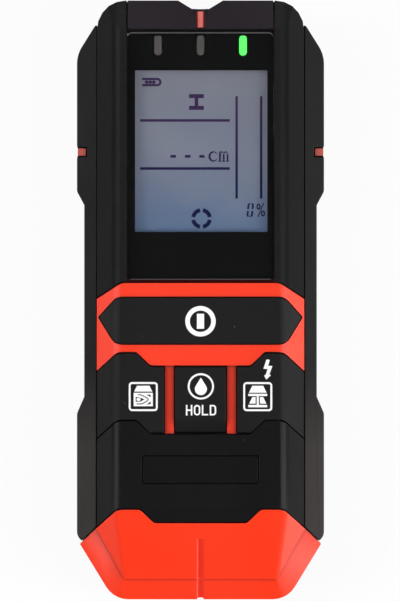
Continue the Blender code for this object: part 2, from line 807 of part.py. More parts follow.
# The low flange round the nose: its inner edge is the foot of the sloping panel, its outer edge the outline.
def nose_flange():
    tip = nose_tip(NOSE_TOP)
    side_level = FACE_HEIGHT - FLANGE_SIDE_DROP
    end_level = FACE_HEIGHT - FLANGE_END_DROP
    foot_level = FACE_HEIGHT - NOSE_DROP - NOSE_STEP
    corner = rounded([(tip.x, tip.y, 0), case_side()[-1], (0, -END, 0)])
    points = []
    for sign in (-1, 1):
        points.append((sign * BODY_HALF, NOSE_TOP - SEAM_SWEEP, BAND_INNER - NOSE_STEP))
        points.append((sign * BODY_HALF, NOSE_TOP - SEAM_SWEEP, SPLIT_HEIGHT))
        points.append((sign * (FACE_HALF - NOSE_FOOT_CUT), NOSE_FOOT, foot_level))
        for index, point in enumerate(corner):
            level = side_level if index == 0 else end_level
            points.append((sign * point.x, point.y, level))
            points.append((sign * point.x, point.y, SPLIT_HEIGHT))
    return hull(points)


# A narrow groove with sloping sides down the middle of the nose and over its end.
def nose_groove():
    slope = NOSE_DROP / (NOSE_TOP - NOSE_FOOT)
    start = -END + NOSE_GROOVE_LENGTH
    half = NOSE_GROOVE_WIDTH / 2
    floor = half - NOSE_GROOVE_DEPTH
    foot = FACE_HEIGHT - NOSE_DROP
    fall = (FLANGE_END_DROP - NOSE_DROP - NOSE_STEP) / NOSE_FOOT_LENGTH
    levels = [
        (start, foot + slope * (start - NOSE_FOOT)),
        (NOSE_FOOT, foot),
        (NOSE_FOOT - FIT, foot - NOSE_STEP - fall * FIT),
        (-END - WALL, foot - NOSE_STEP - fall * (NOSE_FOOT_LENGTH + WALL)),
    ]
    loops = []
    for y, level in levels:
        right = [(half, y, ABOVE), (half, y, level), (floor, y, level - NOSE_GROOVE_DEPTH)]
        loops.append(right + [(-x, y, z) for x, y, z in reversed(right)])
    mouth = [(half, -END - WALL, 0), (half, -END, 0), (floor, -END + NOSE_GROOVE_DEPTH, 0)]
    return join(loft(loops), slab(mirrored(mouth), BELOW, FACE_HEIGHT))


def make_front_shell():
    shelf = SKIRT_TOP - WALL
    far = END - SKIRT_INSET - FIT
    shell = envelope(SHELL_INSET, shelf, NOSE_FOOT + SHELL_INSET, far)
    keys = between(seam(MODE_TOP + SEAM_FIT / 2, SEAM_INNER), seam(PANEL_TOP, SEAM_INNER))
    cut(shell, recess(keys, RECESS_INSET))

    # The face round the power button and the nose stand full height, the ribs between the buttons less.
    ring = between(ring_seam(RING_TOP), seam(MODE_TOP + SEAM_FIT, SEAM_INNER))
    nose = [(BODY_HALF, NOSE_TOP - SEAM_SWEEP, 0), (BODY_HALF, NOSE_FOOT, 0)]
    raised = [(ring, 0.0), (mirrored(seam(NOSE_TOP, NOSE_SEAM_INNER) + nose), 0.0)]
    rib_foot = PANEL_TOP - STEP_DROP + FIT
    for inner, outer in ((-RIB_OUTER, -RIB_INNER), (RIB_INNER, RIB_OUTER)):
        raised.append((rectangle(inner, rib_foot, outer, MODE_TOP), RIB_SINK))
    for outline, sink in raised:
        join(shell, common(envelope(sink, shelf + WALL / 2), slab(outline, BELOW, ABOVE)))
    join(shell, nose_flange(), slab(case_outline(SKIRT_INSET), SPLIT_HEIGHT, SKIRT_TOP))
    mark_side = HALF_WIDTH - SIDE_MARK_SINK
    mark_top = BAND_OUTER - SIDE_MARK_SINK
    for sign in (-1, 1):
        join(shell, *side_mark_blocks(sign, 0.0, mark_side, SPLIT_HEIGHT, mark_top))
    cut(shell, recess(grow(power_outline(), FIT), RECESS_INSET), nose_groove())

    # Hollow inside, open at the back.
    room = envelope(CAVITY_INSET, BELOW, NOSE_FOOT + CAVITY_INSET, far - WALL)
    cut(shell, room, slab(case_outline(SKIRT_INSET + WALL), BELOW, shelf))
    for x, y in BUTTONS.values():
        cut(shell, cylinder(x, y, CAVITY_TOP - WALL, FACE_HEIGHT, POST_DIAMETER + 2 * POST_CLEARANCE))

    # Seat for the display mask, window for the display and slot for the lamps.
    cut(shell, slab(grow(mask_outline(), FIT), MASK_SEAT, ABOVE))
    view = rectangle(-VIEW_WIDTH / 2, VIEW_BOTTOM, VIEW_WIDTH / 2, VIEW_TOP)
    cut(shell, slab(grow(view, WINDOW_PLAY), CAVITY_TOP - WALL, ABOVE))
    lamps = block_outline(2 * LAMP_SPACING + LAMP_WIDTH, LAMP_LENGTH, LAMP_Y)
    cut(shell, slab(grow(lamps, WINDOW_PLAY), CAVITY_TOP - WALL, ABOVE))

    # Screw bosses: for the back cover on the ledge, for the main board under the face.
    for x, y in CASE_SCREWS:
        join(shell, cylinder(x, y, SPLIT_HEIGHT, shelf + WALL / 2, BOSS_DIAMETER))
        cut(shell, cylinder(x, y, BELOW, CASE_SCREW_TOP + FIT, SCREW_DIAMETER + 2 * FIT))
    for x, y in BOARD_SCREWS:
        join(shell, cylinder(x, y, BOARD_TOP + FIT, CAVITY_TOP + WALL / 2, BOSS_DIAMETER))
        cut(shell, cylinder(x, y, BOARD_BOTTOM, BOARD_SCREW_TOP + FIT, SCREW_DIAMETER + 2 * FIT))
    shell.name = "front_shell"
    return shell


# Display

def lens_outline():
    return rectangle(-LENS_HALF, LENS_BOTTOM, LENS_HALF, LENS_TOP, LENS_RADIUS)


def mask_outline():
    return inset(rectangle(-LENS_HALF, LENS_BOTTOM, LENS_HALF, LENS_TOP), MASK_INSET)


def lamp_outline(x, play=0.0):
    radius = (LAMP_WIDTH - LAMP_END_FLAT) / 2 + play
    return block_outline(LAMP_WIDTH + 2 * play, LAMP_LENGTH + 2 * play, LAMP_Y, x, radius)


LAMPS = {"left": -LAMP_SPACING, "centre": 0.0, "right": LAMP_SPACING}


def lcd_outline(play=0.0):
    half = VIEW_WIDTH / 2 + LCD_BORDER + play
    return rectangle(-half, VIEW_BOTTOM - LCD_TAB - play, half, VIEW_TOP + LCD_BORDER + play)


def make_display():
    pieces = [slab(lens_outline(), LENS_HEIGHT, LENS_HEIGHT + LENS_THICKNESS, "display_lens")]
    mask_top = MASK_SEAT + FIT + MASK_THICKNESS
    mask = slab(mask_outline(), MASK_SEAT + FIT, mask_top, "display_mask")
    cut(mask, box(-VIEW_WIDTH / 2, VIEW_BOTTOM, BELOW, VIEW_WIDTH / 2, VIEW_TOP, ABOVE))
    for x in LAMPS.values():
        cut(mask, slab(lamp_outline(x, FIT), BELOW, ABOVE))
    pieces.append(mask)
    pieces.append(slab(lcd_outline(), LCD_BOTTOM, LCD_TOP, "lcd_panel"))
    pieces.append(slab(lcd_outline(), BOARD_TOP + FIT, LCD_BOTTOM - FIT, "lcd_backlight"))
    holder = slab(lcd_outline(FIT + FRAME_WALL), BOARD_TOP + FIT, LCD_TOP - FRAME_WALL, "lcd_frame")
    pieces.append(cut(holder, slab(lcd_outline(FIT), BOARD_TOP - WALL, ABOVE)))
    led_top = BOARD_TOP + FIT + LED_HEIGHT
    for side, x in LAMPS.items():
        pieces.append(slab(lamp_outline(x), led_top + FIT, mask_top, "light_pipe_" + side))
        chip = block_outline(LED_WIDTH, LED_LENGTH, LAMP_Y, x)
        pieces.append(slab(chip, BOARD_TOP + FIT, led_top, "led_" + side))
    return pieces


# Back cover, door and pads

DOOR_HALF = BAY_HALF + DOOR_LEDGE
DOOR_BOTTOM = BAY_BOTTOM - DOOR_LEDGE
HINGE_Y = BAY_TOP + DOOR_LEDGE - DOOR_THICKNESS / 2
HINGE_Z = PAD_DROP + DOOR_THICKNESS / 2
SCREW_SEAT = PAD_DROP + SCREW_SINK + SCREW_HEAD_HEIGHT + FIT
OUTSIDE = PAD_DROP - WALL
SENSOR_BOTTOM = COVER_FLOOR + SENSOR_LIFT + FIT
SENSOR_TOP = SENSOR_BOTTOM + SENSOR_THICKNESS
SENSOR_Y = SIDE_MARK_Y
PADS = [
    (sign * PAD_X, y)
    for y in (END - SKIRT_INSET - PAD_TOP_MARGIN, -END + PAD_BOTTOM_MARGIN)
    for sign in (-1, 1)
]


def pad_outline(x, y, play=0.0):
    return block_outline(PAD_LENGTH + 2 * play, PAD_WIDTH + 2 * play, y, x, PAD_RADIUS)


def make_back_cover():
    shape = case_outline(COVER_INSET, END - SKIRT_INSET + COVER_INSET)
    loops = []
    for distance, z in ((COVER_CHAMFER, PAD_DROP), (0.0, PAD_DROP + COVER_CHAMFER), (0.0, COVER_TOP)):
        loops.append([(p.x, p.y, z) for p in rounded(inset(shape, distance))])
    cover = loft(loops, "back_cover")
    cut(cover, slab(inset(shape, WALL), COVER_FLOOR, COVER_TOP + WALL))

    # Battery bay: a walled opening through the floor, with a notch for the leads and a seat for the door.
    bay = rectangle(-BAY_HALF, BAY_BOTTOM, BAY_HALF, BAY_TOP)
    root = COVER_FLOOR - FLOOR / 2
    join(cover, slab(grow(bay, BAY_WALL), root, COVER_FLOOR + BAY_HEIGHT))
    cut(cover, slab(bay, OUTSIDE, ABOVE))
    notch = COVER_FLOOR + BAY_HEIGHT - BAY_NOTCH_HEIGHT
    cut(cover, box(-BAY_NOTCH / 2, BAY_TOP - WALL, notch, BAY_NOTCH / 2, BAY_TOP + BAY_WALL + WALL, ABOVE))
    seat = rectangle(-DOOR_HALF, DOOR_BOTTOM, DOOR_HALF, BAY_TOP + DOOR_LEDGE)
    cut(cover, slab(grow(seat, FIT), OUTSIDE, PAD_DROP + DOOR_THICKNESS + FIT))
    reach = DOOR_HALF + TRUNNION_LENGTH + FIT
    cut(cover, lying_cylinder("X", -reach, reach, HINGE_Y, HINGE_Z, TRUNNION_DIAMETER + 2 * FIT))

    for x, y in CASE_SCREWS:
        join(cover, cylinder(x, y, root, COVER_TOP, BOSS_DIAMETER))
        join(cover, cylinder(x, y, root, SCREW_SEAT + WALL, SCREW_HEAD_DIAMETER + 2 * BOSS_WALL))
        cut(cover, cylinder(x, y, OUTSIDE, ABOVE, SCREW_DIAMETER + 2 * FIT))
        cut(cover, cylinder(x, y, OUTSIDE, SCREW_SEAT, SCREW_HEAD_DIAMETER + 2 * FIT))
    post_x = SENSOR_WIDTH / 2 - SENSOR_POST_INSET
    post_y = SENSOR_LENGTH / 2 - SENSOR_POST_INSET
    for x in (-post_x, post_x):
        for y in (SENSOR_Y - post_y, SENSOR_Y + post_y):
            join(cover, cylinder(x, y, root, SENSOR_BOTTOM - FIT, SENSOR_POST_DIAMETER))
    for x, y in PADS:
        cut(cover, slab(pad_outline(x, y, FIT), OUTSIDE, PAD_DROP + PAD_SEAT))
    return cover


def make_battery_door():
    panel = rectangle(-DOOR_HALF, DOOR_BOTTOM, DOOR_HALF, HINGE_Y)
    door = slab(panel, PAD_DROP, PAD_DROP + DOOR_THICKNESS, "battery_door")
    barrel = lying_cylinder("X", -DOOR_HALF, DOOR_HALF, HINGE_Y, HINGE_Z, DOOR_THICKNESS)
    reach = DOOR_HALF + TRUNNION_LENGTH
    join(door, barrel, lying_cylinder("X", -reach, reach, HINGE_Y, HINGE_Z, TRUNNION_DIAMETER))
    thumb = block_outline(THUMB_WIDTH, THUMB_LENGTH, DOOR_BOTTOM + THUMB_MARGIN + THUMB_LENGTH / 2)
    cut(door, slab(thumb, OUTSIDE, PAD_DROP + THUMB_DEPTH))
    return set_origin(door, 0, HINGE_Y, HINGE_Z)


def make_pads():
    sides = ("top_left", "top_right", "bottom_left", "bottom_right")
    top = PAD_DROP + PAD_SEAT - FIT
    return [slab(pad_outline(x, y), 0.0, top, "glide_pad_" + side) for side, (x, y) in zip(sides, PADS)]


# Screws, with their heads towards the back

def make_screw(name, x, y, seat, top):
    screw = cylinder(x, y, seat - SCREW_HEAD_HEIGHT, seat, SCREW_HEAD_DIAMETER, name)
    join(screw, cylinder(x, y, seat - SCREW_HEAD_HEIGHT / 2, top, SCREW_DIAMETER))
    floor = seat - SCREW_HEAD_HEIGHT / 2
    for width, length in ((CROSS_LENGTH, CROSS_WIDTH), (CROSS_WIDTH, CROSS_LENGTH)):
        cut(screw, slab(block_outline(width, length, y, x), OUTSIDE, floor))
    return screw


def make_screws():
    pieces = []
    for index, (x, y) in enumerate(CASE_SCREWS):
        pieces.append(make_screw(f"case_screw_{index + 1}", x, y, SCREW_SEAT - FIT, CASE_SCREW_TOP))
    for index, (x, y) in enumerate(BOARD_SCREWS):
        pieces.append(make_screw(f"board_screw_{index + 1}", x, y, BOARD_BOTTOM - FIT, BOARD_SCREW_TOP))
    return pieces


# Electronics

def make_main_board():
    outline = rectangle(-BOARD_HALF, BOARD_START, BOARD_HALF, BOARD_END)
    board = slab(outline, BOARD_BOTTOM, BOARD_TOP, "main_board")
    for x, y in BOARD_SCREWS:
        cut(board, cylinder(x, y, BOARD_BOTTOM - WALL, BOARD_TOP + WALL, SCREW_DIAMETER + 2 * FIT))
    return board


def make_board_parts():
    under = BOARD_BOTTOM - FIT
    chip = slab(block_outline(CHIP_SIZE, CHIP_SIZE, SENSOR_Y), under - CHIP_HEIGHT, under, "controller_chip")
    buzzer = cylinder(BUZZER_X, BUZZER_Y, under - BUZZER_HEIGHT, under, BUZZER_DIAMETER, "buzzer")
    return [chip, buzzer]


def make_sensors():
    board_outline = block_outline(SENSOR_WIDTH, SENSOR_LENGTH, SENSOR_Y)
    pieces = [slab(board_outline, SENSOR_BOTTOM, SENSOR_TOP, "sensor_board")]
    plate_top = SENSOR_BOTTOM - FIT
    for side, sign in (("left", -1), ("right", 1)):
        x = sign * (STUD_PLATE_GAP + STUD_PLATE_WIDTH) / 2
        outline = block_outline(STUD_PLATE_WIDTH, STUD_PLATE_LENGTH, SENSOR_Y, x)
        pieces.append(slab(outline, plate_top - STUD_PLATE_THICKNESS, plate_top, "stud_plate_" + side))
    coil_base = SENSOR_TOP + FIT
    coil = cylinder(0, SENSOR_Y, coil_base, coil_base + COIL_HEIGHT, 2 * COIL_RADIUS, "sensor_coil", 40)
    cut(coil, cylinder(0, SENSOR_Y, OUTSIDE, ABOVE, 2 * (COIL_RADIUS - COIL_BAND), sides=40))
    pieces.append(coil)
    link_y = SENSOR_Y - SENSOR_LENGTH / 2 + LINK_MARGIN + LINK_DEPTH / 2
    link = block_outline(LINK_WIDTH, LINK_DEPTH, link_y)
    pieces.append(slab(link, coil_base, BOARD_BOTTOM - FIT, "board_link"))
    moisture = block_outline(MOISTURE_WIDTH, MOISTURE_LENGTH, MOISTURE_Y)
    pieces.append(slab(moisture, COVER_FLOOR + FIT, MOISTURE_TOP, "moisture_plate"))
    return pieces


# A block along Y with rounded long edges, given its section in X and Z.
def bar(corners, start, end, name):
    section = rounded(corners)
    return loft([[(p.x, y, p.y) for p in section] for y in (start, end)], name)


def make_battery():
    section = rectangle(-BATTERY_WIDTH / 2, BATTERY_BOTTOM, BATTERY_WIDTH / 2, BATTERY_TOP, BATTERY_CORNER)
    battery = bar(section, BATTERY_END - BATTERY_LENGTH, BATTERY_END, "battery")
    shell_section = block_outline(CONNECTOR_WIDTH, CONNECTOR_DEPTH, BATTERY_Z)
    connector = bar(shell_section, BATTERY_END + FIT, CONNECTOR_END, "snap_connector")
    for x in (-STUD_SPACING / 2, STUD_SPACING / 2):
        stud_end = BATTERY_END + STUD_HEIGHT
        socket = STUD_DIAMETER + 2 * FIT
        join(battery, lying_cylinder("Y", BATTERY_END - WALL, stud_end, x, BATTERY_Z, STUD_DIAMETER))
        cut(connector, lying_cylinder("Y", BATTERY_END, stud_end + FIT, x, BATTERY_Z, socket))
    return [battery, connector]


# A wire along a smooth curve through the points of its route, square to what it meets at both ends.
def make_lead(name, route, steps=6):
    knots = [Vector(point) for point in route]
    path = [knots[0]]
    for index in range(1, len(knots) - 2):
        before, start, end, after = knots[index - 1:index + 3]
        for step in range(steps + 1):
            t = step / steps
            point = start * 2 + (end - before) * t
            point += (before * 2 - start * 5 + end * 4 - after) * t ** 2
            point += (start * 3 - before - end * 3 + after) * t ** 3
            if step or index == 1:
                path.append(point / 2)
    path.append(knots[-1])
    curve = bpy.data.curves.new(name, "CURVE")
    curve.dimensions = "3D"
    curve.bevel_depth = LEAD_DIAMETER / 2
    curve.bevel_resolution = 2
    curve.use_fill_caps = True
    line = curve.splines.new("POLY")
    line.points.add(len(path) - 1)
    for slot, point in zip(line.points, path):
        slot.co = (*point, 1.0)
    lead = bpy.data.objects.new(name, curve)
    bpy.context.scene.collection.objects.link(lead)
    return lead


def make_leads():
    leads = []
    back = CONNECTOR_END + FIT
    top = BOARD_BOTTOM - FIT
    for name, x in (("lead_positive", -LEAD_SPACING / 2), ("lead_negative", LEAD_SPACING / 2)):
        far = back + LEAD_REACH
        route = [
            (x, back, BATTERY_Z),
            (x, back + LEAD_DIAMETER, BATTERY_Z),
            (x, (back + far) / 2, (BATTERY_Z + top) / 2),
            (x, far, top - 2 * LEAD_DIAMETER),
            (x, far, top - LEAD_DIAMETER),
            (x, far, top),
        ]
        leads.append(make_lead(name, route))
    side = BAY_HALF + BAY_WALL + 2 * LEAD_DIAMETER
    near = MOISTURE_WIDTH / 2 - LEAD_DIAMETER
    far = MODE_Y
    route = [
        (near, MOISTURE_Y, MOISTURE_TOP + FIT),
        (near, MOISTURE_Y, MOISTURE_TOP + FIT + LEAD_DIAMETER),
        (near + LEAD_DIAMETER, MOISTURE_Y + 2 * LEAD_DIAMETER, MOISTURE_TOP + 3 * LEAD_DIAMETER),
        (side, DOOR_BOTTOM, COVER_FLOOR + BAY_HEIGHT / 2),
        (side, (DOOR_BOTTOM + far) / 2, COVER_FLOOR + BAY_HEIGHT),
        (side, far - LEAD_DIAMETER, top - 3 * LEAD_DIAMETER),
        (side, far, top - LEAD_DIAMETER),
        (side, far, top),
    ]
    leads.append(make_lead("lead_moisture", route))
    return leads


# Materials: colour, roughness, metallic

FINISHES = {
    "red_plastic": ((0.97, 0.045, 0.016), 0.42, 0.0),
    "black_plastic": ((0.012, 0.011, 0.012), 0.5, 0.0),
    "black_rubber": ((0.028, 0.027, 0.026), 0.7, 0.0),
    "clear_acrylic": ((0.02, 0.02, 0.022), 0.06, 0.0),
    "mask_black": ((0.004, 0.004, 0.004), 0.3, 0.0),
    "lcd_glass": ((0.18, 0.21, 0.3), 0.12, 0.0),
    "white_plastic": ((0.75, 0.76, 0.78), 0.4, 0.0),
    "lamp_grey": ((0.085, 0.077, 0.068), 0.35, 0.0),
    "lamp_green": ((0.06, 0.9, 0.1), 0.35, 0.0),
    "board_green": ((0.01, 0.12, 0.05), 0.45, 0.0),
    "chip_black": ((0.015, 0.015, 0.016), 0.5, 0.0),
    "copper": ((0.72, 0.3, 0.16), 0.35, 1.0),
    "steel": ((0.55, 0.56, 0.58), 0.32, 1.0),
    "zinc_black": ((0.05, 0.05, 0.055), 0.4, 0.8),
    "battery_wrap": ((0.03, 0.05, 0.12), 0.4, 0.0),
    "lead_red": ((0.6, 0.02, 0.015), 0.5, 0.0),
    "lead_black": ((0.012, 0.012, 0.012), 0.5, 0.0),
    "lead_white": ((0.7, 0.7, 0.68), 0.5, 0.0),
}


def finish(piece, name):
    colour, roughness, metallic = FINISHES[name]
    material = bpy.data.materials.new(f"{piece.name}_{name}")
    material.use_nodes = True
    shader = material.node_tree.nodes["Principled BSDF"]
    shader.inputs["Base Color"].default_value = (*colour, 1.0)
    shader.inputs["Roughness"].default_value = roughness
    shader.inputs["Metallic"].default_value = metallic
    piece.data.materials.clear()
    piece.data.materials.append(material)


def smooth(piece, angle=math.radians(18)):
    if piece.type == "MESH":
        piece.data.shade_smooth()
        piece.data.set_sharp_from_angle(angle=angle)


# The finish of each piece, by how its name starts. Everything else is black plastic.
SURFACES = {
    "front_shell": "red_plastic",
    "centre_marker": "red_plastic",
    "grip_": "black_rubber",
    "glide_pad_": "black_rubber",
    "display_lens": "clear_acrylic",
    "display_mask": "mask_black",
    "lcd_panel": "lcd_glass",
    "lcd_backlight": "white_plastic",
    "lcd_frame": "white_plastic",
    "light_pipe_right": "lamp_green",
    "led_right": "lamp_green",
    "light_pipe_": "lamp_grey",
    "led_": "lamp_grey",
    "main_board": "board_green",
    "sensor_board": "board_green",
    "controller_chip": "chip_black",
    "buzzer": "chip_black",
    "switch_": "chip_black",
    "snap_connector": "chip_black",
    "board_link": "chip_black",
    "stud_plate_": "copper",
    "sensor_coil": "copper",
    "moisture_plate": "copper",
    "plunger_": "steel",
    "board_screw_": "steel",
    "case_screw_": "zinc_black",
    "battery_door": "black_plastic",
    "battery": "battery_wrap",
    "lead_positive": "lead_red",
    "lead_negative": "lead_black",
    "lead_moisture": "lead_white",
}


def surface_of(name):
    found = [surface for start, surface in SURFACES.items() if name.startswith(start)]
    return found[0] if found else "black_plastic"


def build():
    pieces = [
        make_front_shell(),
        make_upper_bezel(),
        make_top_bridge(),
        make_centre_marker(),
        make_lower_panel(),
        make_label_plate(),
        make_grip("grip_left", -1),
        make_grip("grip_right", 1),
        make_back_cover(),
        make_battery_door(),
        make_main_board(),
    ]
    pieces += make_display()
    for name in BUTTONS:
        pieces += [make_button(name), make_switch(name), make_plunger(name)]
    pieces += make_board_parts() + make_sensors() + make_battery()
    pieces += make_leads() + make_screws() + make_pads()
    for piece in pieces:
        finish(piece, surface_of(piece.name))
        smooth(piece)
    return pieces


build()
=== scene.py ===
import json
import math

import bmesh
import bpy
from mathutils import Matrix, Vector
from mathutils.bvhtree import BVHTree


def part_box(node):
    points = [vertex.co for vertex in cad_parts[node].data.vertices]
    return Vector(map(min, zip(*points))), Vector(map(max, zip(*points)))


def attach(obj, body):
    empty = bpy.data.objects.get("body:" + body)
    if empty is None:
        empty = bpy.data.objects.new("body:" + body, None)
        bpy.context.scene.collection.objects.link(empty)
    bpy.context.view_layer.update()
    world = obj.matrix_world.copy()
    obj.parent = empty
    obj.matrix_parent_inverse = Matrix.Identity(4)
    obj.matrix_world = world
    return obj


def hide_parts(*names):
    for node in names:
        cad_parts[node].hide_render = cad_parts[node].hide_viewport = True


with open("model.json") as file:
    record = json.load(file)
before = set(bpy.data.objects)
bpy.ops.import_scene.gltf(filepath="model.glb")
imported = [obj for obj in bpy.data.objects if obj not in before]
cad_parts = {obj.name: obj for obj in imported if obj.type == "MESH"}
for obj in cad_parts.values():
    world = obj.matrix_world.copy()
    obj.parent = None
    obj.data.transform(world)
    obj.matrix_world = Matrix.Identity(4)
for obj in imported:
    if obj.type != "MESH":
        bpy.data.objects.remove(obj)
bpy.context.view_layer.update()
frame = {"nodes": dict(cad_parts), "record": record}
nodes = frame["nodes"]
mm = 0.001
print("frame loaded with", len(nodes), "nodes")

bodyOf = {}
for bodyName, members in frame["record"]["behaviour"]["bodies"].items():
    for member in members:
        bodyOf[member] = bodyName


# Shader building: every helper takes the node tree it works in
def addNode(tree, kind, inputs=None, **settings):
    node = tree.nodes.new(kind)
    for name, value in settings.items():
        setattr(node, name, value)
    setInputs(tree, node, inputs or {})
    return node


def setInputs(tree, node, inputs):
    for name, value in inputs.items():
        feed(tree, node.inputs[name], value)


# a socket is linked, anything else becomes the input's own value
def feed(tree, target, value):
    if isinstance(value, bpy.types.NodeSocket):
        tree.links.new(value, target)
    elif isinstance(value, (tuple, list)) and len(value) == 3 and len(target.default_value) == 4:
        target.default_value = (*value, 1.0)
    else:
        target.default_value = value


def calc(tree, operation, first, second=0.0, clamp=False):
    node = addNode(tree, "ShaderNodeMath", operation=operation, use_clamp=clamp)
    feed(tree, node.inputs[0], first)
    feed(tree, node.inputs[1], second)
    return node.outputs[0]


# where the colour sockets of a mix node stand among its sockets of every kind
mixSockets = {"share": 0, "base": 6, "top": 7, "result": 2}


def blendColour(tree, share, base, top):
    node = addNode(tree, "ShaderNodeMix", data_type="RGBA")
    feed(tree, node.inputs[mixSockets["share"]], share)
    feed(tree, node.inputs[mixSockets["base"]], base)
    feed(tree, node.inputs[mixSockets["top"]], top)
    return node.outputs[mixSockets["result"]]


def mixShaders(tree, share, first, second):
    node = addNode(tree, "ShaderNodeMixShader")
    for target, value in zip(node.inputs, (share, first, second)):
        feed(tree, target, value)
    return node.outputs[0]


def spread(tree, value, low, high, newLow=0.0, newHigh=1.0):
    inputs = {"Value": value, "From Min": low, "From Max": high, "To Min": newLow, "To Max": newHigh}
    return addNode(tree, "ShaderNodeMapRange", inputs, clamp=True).outputs[0]


def place(tree, kind="Object"):
    return addNode(tree, "ShaderNodeTexCoord").outputs[kind]


def axes(tree, kind="Object"):
    return addNode(tree, "ShaderNodeSeparateXYZ", {"Vector": place(tree, kind)}).outputs


def noiseAt(tree, where, scale, detail=2.0):
    inputs = {"Vector": where, "Scale": scale, "Detail": detail}
    return addNode(tree, "ShaderNodeTexNoise", inputs).outputs["Fac"]


def newGroup(name, inputs, outputs):
    tree = bpy.data.node_groups.new(name, "ShaderNodeTree")
    for socketName, default in inputs.items():
        socket = tree.interface.new_socket(socketName, in_out="INPUT", socket_type="NodeSocketFloat")
        socket.default_value = default
    for socketName in outputs:
        tree.interface.new_socket(socketName, in_out="OUTPUT", socket_type="NodeSocketFloat")
    return tree, addNode(tree, "NodeGroupInput").outputs, addNode(tree, "NodeGroupOutput").inputs


def useGroup(tree, group, inputs):
    return addNode(tree, "ShaderNodeGroup", inputs, node_tree=group).outputs


# Fine texture of a tool surface: a pitted height and a slow change of tone
grainShape = {"detail": 3.0, "coarse": 0.23, "fineShare": 0.7}


def makeGrainGroup(shape):
    tree, given, result = newGroup("mouldedGrain", {"Scale": 4000.0, "Flow": 40.0}, ["Height", "Tone"])
    where = place(tree)
    fine = noiseAt(tree, where, given["Scale"], shape["detail"])
    coarse = noiseAt(tree, where, calc(tree, "MULTIPLY", given["Scale"], shape["coarse"]))
    feed(tree, result["Height"], calc(tree, "ADD", calc(tree, "MULTIPLY", fine, shape["fineShare"]), coarse))
    feed(tree, result["Tone"], noiseAt(tree, where, given["Flow"], shape["detail"]))
    return tree


# Edges that hands and pockets have rubbed: a mask along corners, broken up by noise
rubShape = {
    "samples": 6, "bend": (0.99, 0.8), "noise": 700.0, "detail": 4.0, "patchy": (0.38, 0.62, 0.25, 1.0),
}


def makeRubbedGroup(shape):
    tree, given, result = newGroup("rubbedEdges", {"Radius": 0.0004, "Amount": 1.0}, ["Mask"])
    soft = addNode(tree, "ShaderNodeBevel", {"Radius": given["Radius"]}, samples=shape["samples"])
    match = addNode(tree, "ShaderNodeVectorMath", operation="DOT_PRODUCT")
    feed(tree, match.inputs[0], soft.outputs["Normal"])
    feed(tree, match.inputs[1], addNode(tree, "ShaderNodeNewGeometry").outputs["Normal"])
    bend = spread(tree, match.outputs["Value"], *shape["bend"])
    patchy = spread(tree, noiseAt(tree, place(tree), shape["noise"], shape["detail"]), *shape["patchy"])
    worn = calc(tree, "MULTIPLY", calc(tree, "MULTIPLY", bend, patchy), given["Amount"], clamp=True)
    feed(tree, result["Mask"], worn)
    return tree


# A few loose specks: round dots in some of the cells of a scatter
smallestSpeck = 0.35


def makeDustGroup():
    tree, given, result = newGroup("looseDust", {"Scale": 420.0, "Cover": 0.05, "Size": 0.05}, ["Mask"])
    cells = addNode(tree, "ShaderNodeTexVoronoi", {"Vector": place(tree), "Scale": given["Scale"]})
    cellColour = addNode(tree, "ShaderNodeSeparateColor", {"Color": cells.outputs["Color"]})
    choice, size, strength = cellColour.outputs
    chosen = calc(tree, "LESS_THAN", choice, given["Cover"])
    size = calc(tree, "MULTIPLY", given["Size"], calc(tree, "ADD", size, smallestSpeck))
    dot = calc(tree, "LESS_THAN", cells.outputs["Distance"], size)
    feed(tree, result["Mask"], calc(tree, "MULTIPLY", calc(tree, "MULTIPLY", chosen, dot), strength))
    return tree


# Skin oil and wiping: slow streaky change of gloss
handledShape = {"stretch": (1.0, 0.55, 1.0), "detail": 5.0, "cloud": (0.3, 0.7, -1.0, 1.0)}


def makeHandledGroup(shape):
    tree, given, result = newGroup("handledGloss", {"Scale": 55.0, "Amount": 0.08}, ["Change"])
    where = addNode(tree, "ShaderNodeMapping", {"Vector": place(tree), "Scale": shape["stretch"]}).outputs[0]
    cloud = spread(tree, noiseAt(tree, where, given["Scale"], shape["detail"]), *shape["cloud"])
    feed(tree, result["Change"], calc(tree, "MULTIPLY", cloud, given["Amount"]))
    return tree


# Painted shade: darker where the surface is hemmed in, as in the narrow gaps between pieces
seamShadeShape = {"Reach": 0.002, "Open": 0.62, "Closed": 0.12, "Amount": 0.9}
seamShadeSamples = 6


def makeSeamShadeGroup(shape):
    tree, given, result = newGroup("seamDirt", shape, ["Mask"])
    openness = addNode(tree, "ShaderNodeAmbientOcclusion", {"Distance": given["Reach"]}, samples=seamShadeSamples)
    depth = spread(tree, openness.outputs["AO"], given["Open"], given["Closed"])
    feed(tree, result["Mask"], calc(tree, "MULTIPLY", depth, given["Amount"], clamp=True))
    return tree


grainGroup = makeGrainGroup(grainShape)
seamShadeGroup = makeSeamShadeGroup(seamShadeShape)
rubbedGroup = makeRubbedGroup(rubShape)
dustGroup = makeDustGroup()
handledGroup = makeHandledGroup(handledShape)
print("surface effects ready")


# Finishes
def newMaterial(name):
    material = bpy.data.materials.new(name)
    material.use_nodes = True
    tree = material.node_tree
    return material, tree, tree.nodes["Principled BSDF"]


def addBump(tree, shader, height, strength, distance=0.00003):
    bump = addNode(tree, "ShaderNodeBump", {"Height": height, "Strength": strength, "Distance": distance})
    feed(tree, shader.inputs["Normal"], bump.outputs[0])


# An area painted in another colour, the same on both sides, mostly painted shade: how far out and how high it
# reaches, in millimetres
def patch(out, up, colour, soft=0.05):
    return {"out": out, "up": up, "colour": colour, "soft": soft}


def patchMask(tree, area):
    where = axes(tree)
    mask = None
    for reach, (low, high) in ((calc(tree, "ABSOLUTE", where["X"]), area["out"]), (where["Y"], area["up"])):
        for edge, side in ((low, 1), (high, -1)):
            step = spread(tree, reach, edge * mm, (edge + side * area["soft"]) * mm)
            mask = step if mask is None else calc(tree, "MULTIPLY", mask, step)
    return mask


